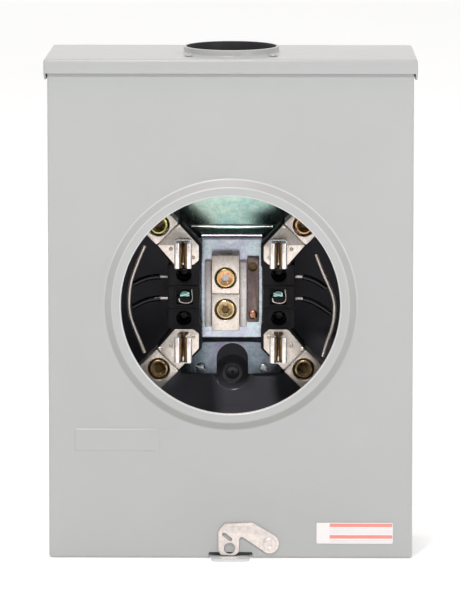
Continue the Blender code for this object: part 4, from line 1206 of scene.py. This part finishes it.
BAIL_PATHS = {
    "left": ((67.2, 38.5), (73.2, 24), (77.9, 10), (79.4, -3), (78.8, -14.5), (74.4, -28),
             (70.5, -37.5), (67.4, -45.5)),
    "right": ((65.5, 32), (70.5, 19), (76.3, 5.6), (79.2, -3), (79.7, -15.5), (77.8, -26),
              (74.0, -37), (70.8, -48)),
}
ARM_PATHS = {
    "upper": {"left": ((49.4, 14.4), (55, 14.4), (61, 13.9), (68, 12.2), (75.6, 8.6)),
              "right": ((49.4, 14.4), (55, 14.3), (62, 12.4), (67.5, 9.6), (73.6, 5.4))},
    "lower": {"left": ((49.4, -2.6), (55, -2.6), (61, -3.2), (68, -5.2), (76.4, -9.4)),
              "right": ((49.4, -2.6), (55, -2.8), (62, -4.8), (69, -8.6), (76.8, -13.9))},
}


def make_bail(side, sign):
    """Bent steel rod held off the block by two sleeved arms with bare inner ends."""
    node = f"guide_bail_{side}"
    y = centre(node).y

    def placed(path):
        return [(sign * x * MM, y, SOCKET_Z + z * MM) for x, z in path]

    rod_piece = tube(node + "_rod", placed(BAIL_PATHS[side]), 1.5 * MM, STEEL)
    use(rod_piece, "steel_rod", node)
    for level_name, _ in LEVELS:
        path = ARM_PATHS[level_name][side]
        arm = tube(f"bail_arm_{level_name}_{side}_sleeve", placed(path[1:]), 2.25 * MM, SLEEVE)
        use(arm, "black_sleeve", f"bail_arm_{level_name}_{side}")
        stub = tube(f"bail_arm_{level_name}_{side}_wire", placed(path[:3]), 1.2 * MM, STEEL)
        use(stub, "black_sleeve")


# ---------------------------------------------------------------- stage
def make_stage():
    """Pale floor, soft lights and a surround that is brightest behind the object."""
    floor_z = low("front_cover").z - 0.3 * MM
    bm = bmesh.new()
    bmesh.ops.create_grid(bm, x_segments=1, y_segments=1, size=14)
    bmesh.ops.translate(bm, vec=(0, 0, floor_z), verts=bm.verts)
    pale = Paint("pale_floor", 0.7)
    pale.colour(pale.ramp(pale.noise(3, 2), [(0.3, 0.93), (0.7, 0.95)]))
    set_inputs(pale.shader, Emission_Color=(1, 1, 1, 1), Emission_Strength=0.22)
    object_from(bm, "floor", pale.material)

    world = bpy.data.worlds.new("surround")
    world.use_nodes = True
    tree = world.node_tree
    split = tree.nodes.new("ShaderNodeSeparateXYZ")
    tree.links.new(tree.nodes.new("ShaderNodeTexCoord").outputs["Generated"], split.inputs[0])
    fade = tree.nodes.new("ShaderNodeMapRange")
    set_inputs(fade, From_Min=-0.35, From_Max=0.1, To_Min=0.32, To_Max=1.03)
    tree.links.new(split.outputs["Y"], fade.inputs["Value"])
    tree.links.new(fade.outputs["Result"], tree.nodes["Background"].inputs["Strength"])
    tree.nodes["Background"].inputs["Color"].default_value = (1.0, 0.995, 0.99, 1)
    bpy.context.scene.world = world
    bpy.context.scene.view_settings.view_transform = "Standard"

    lights = (("key_light", (-0.5, -2.3, 2.3), 0.5, 46.0, (1.0, 0.985, 0.98)),
              ("fill_light", (1.9, -2.4, 0.8), 0.9, 15.0, (0.98, 0.99, 1.0)),
              ("top_light", (0.0, -0.5, 2.4), 0.5, 13.0, (1.0, 0.74, 0.76)))
    for name, place, size, power, colour in lights:
        data = bpy.data.lights.new(name, "AREA")
        data.shape = "DISK"
        data.size = size
        data.energy = power
        data.color = colour
        aim(linked(name, data), Vector(place), -Vector(place))


def aim(obj, place, direction):
    """Put a light or a camera in its place, looking one way."""
    obj.location = place
    obj.rotation_euler = direction.to_track_quat("-Z", "Y").to_euler()


def make_camera():
    """Long lens, a little above and a touch to the right of the cover's middle."""
    distance = 4.6
    elevation, azimuth = radians(8.3), radians(0.8)
    target = Vector((-0.4 * MM, COVER_Y, 6.9 * MM))
    away = Vector((sin(azimuth) * cos(elevation), -cos(azimuth) * cos(elevation),
                   sin(elevation)))
    data = bpy.data.cameras.new("camera")
    data.lens = 359.6
    data.clip_end = 60
    camera = linked("camera", data)
    aim(camera, target + away * distance, -away)
    bpy.context.scene.camera = camera


# ---------------------------------------------------------------- assembly
def build():
    make_camera()
    make_stage()
    make_wrapper()
    for node in WALL_KNOCKOUTS + BOTTOM_KNOCKOUTS:
        make_knockout(node)
    make_bottom_wall()
    make_padlock_tab()
    make_top_cap()
    make_hub_screws()
    make_cover()
    make_label()
    make_latch()
    make_rivet()
    make_bracket()
    make_small_screws()
    make_neutral()
    make_bond_bar()
    for side, sign in SIDES:
        make_block(side, sign)
        make_tap_screw(side, sign)
        make_bail(side, sign)
        for level_name, level in LEVELS:
            make_terminal(side, sign, level_name, level)
            make_jaw(side, sign, level_name)
            make_clip(side, level_name, level)
            make_set_screw(f"lug_screw_{level_name}_{side}", f"{level_name}_{side}_lug_screw")
    for level_name, _ in LEVELS:
        make_set_screw(f"neutral_screw_{level_name}", f"{level_name}_neutral_screw")


build()
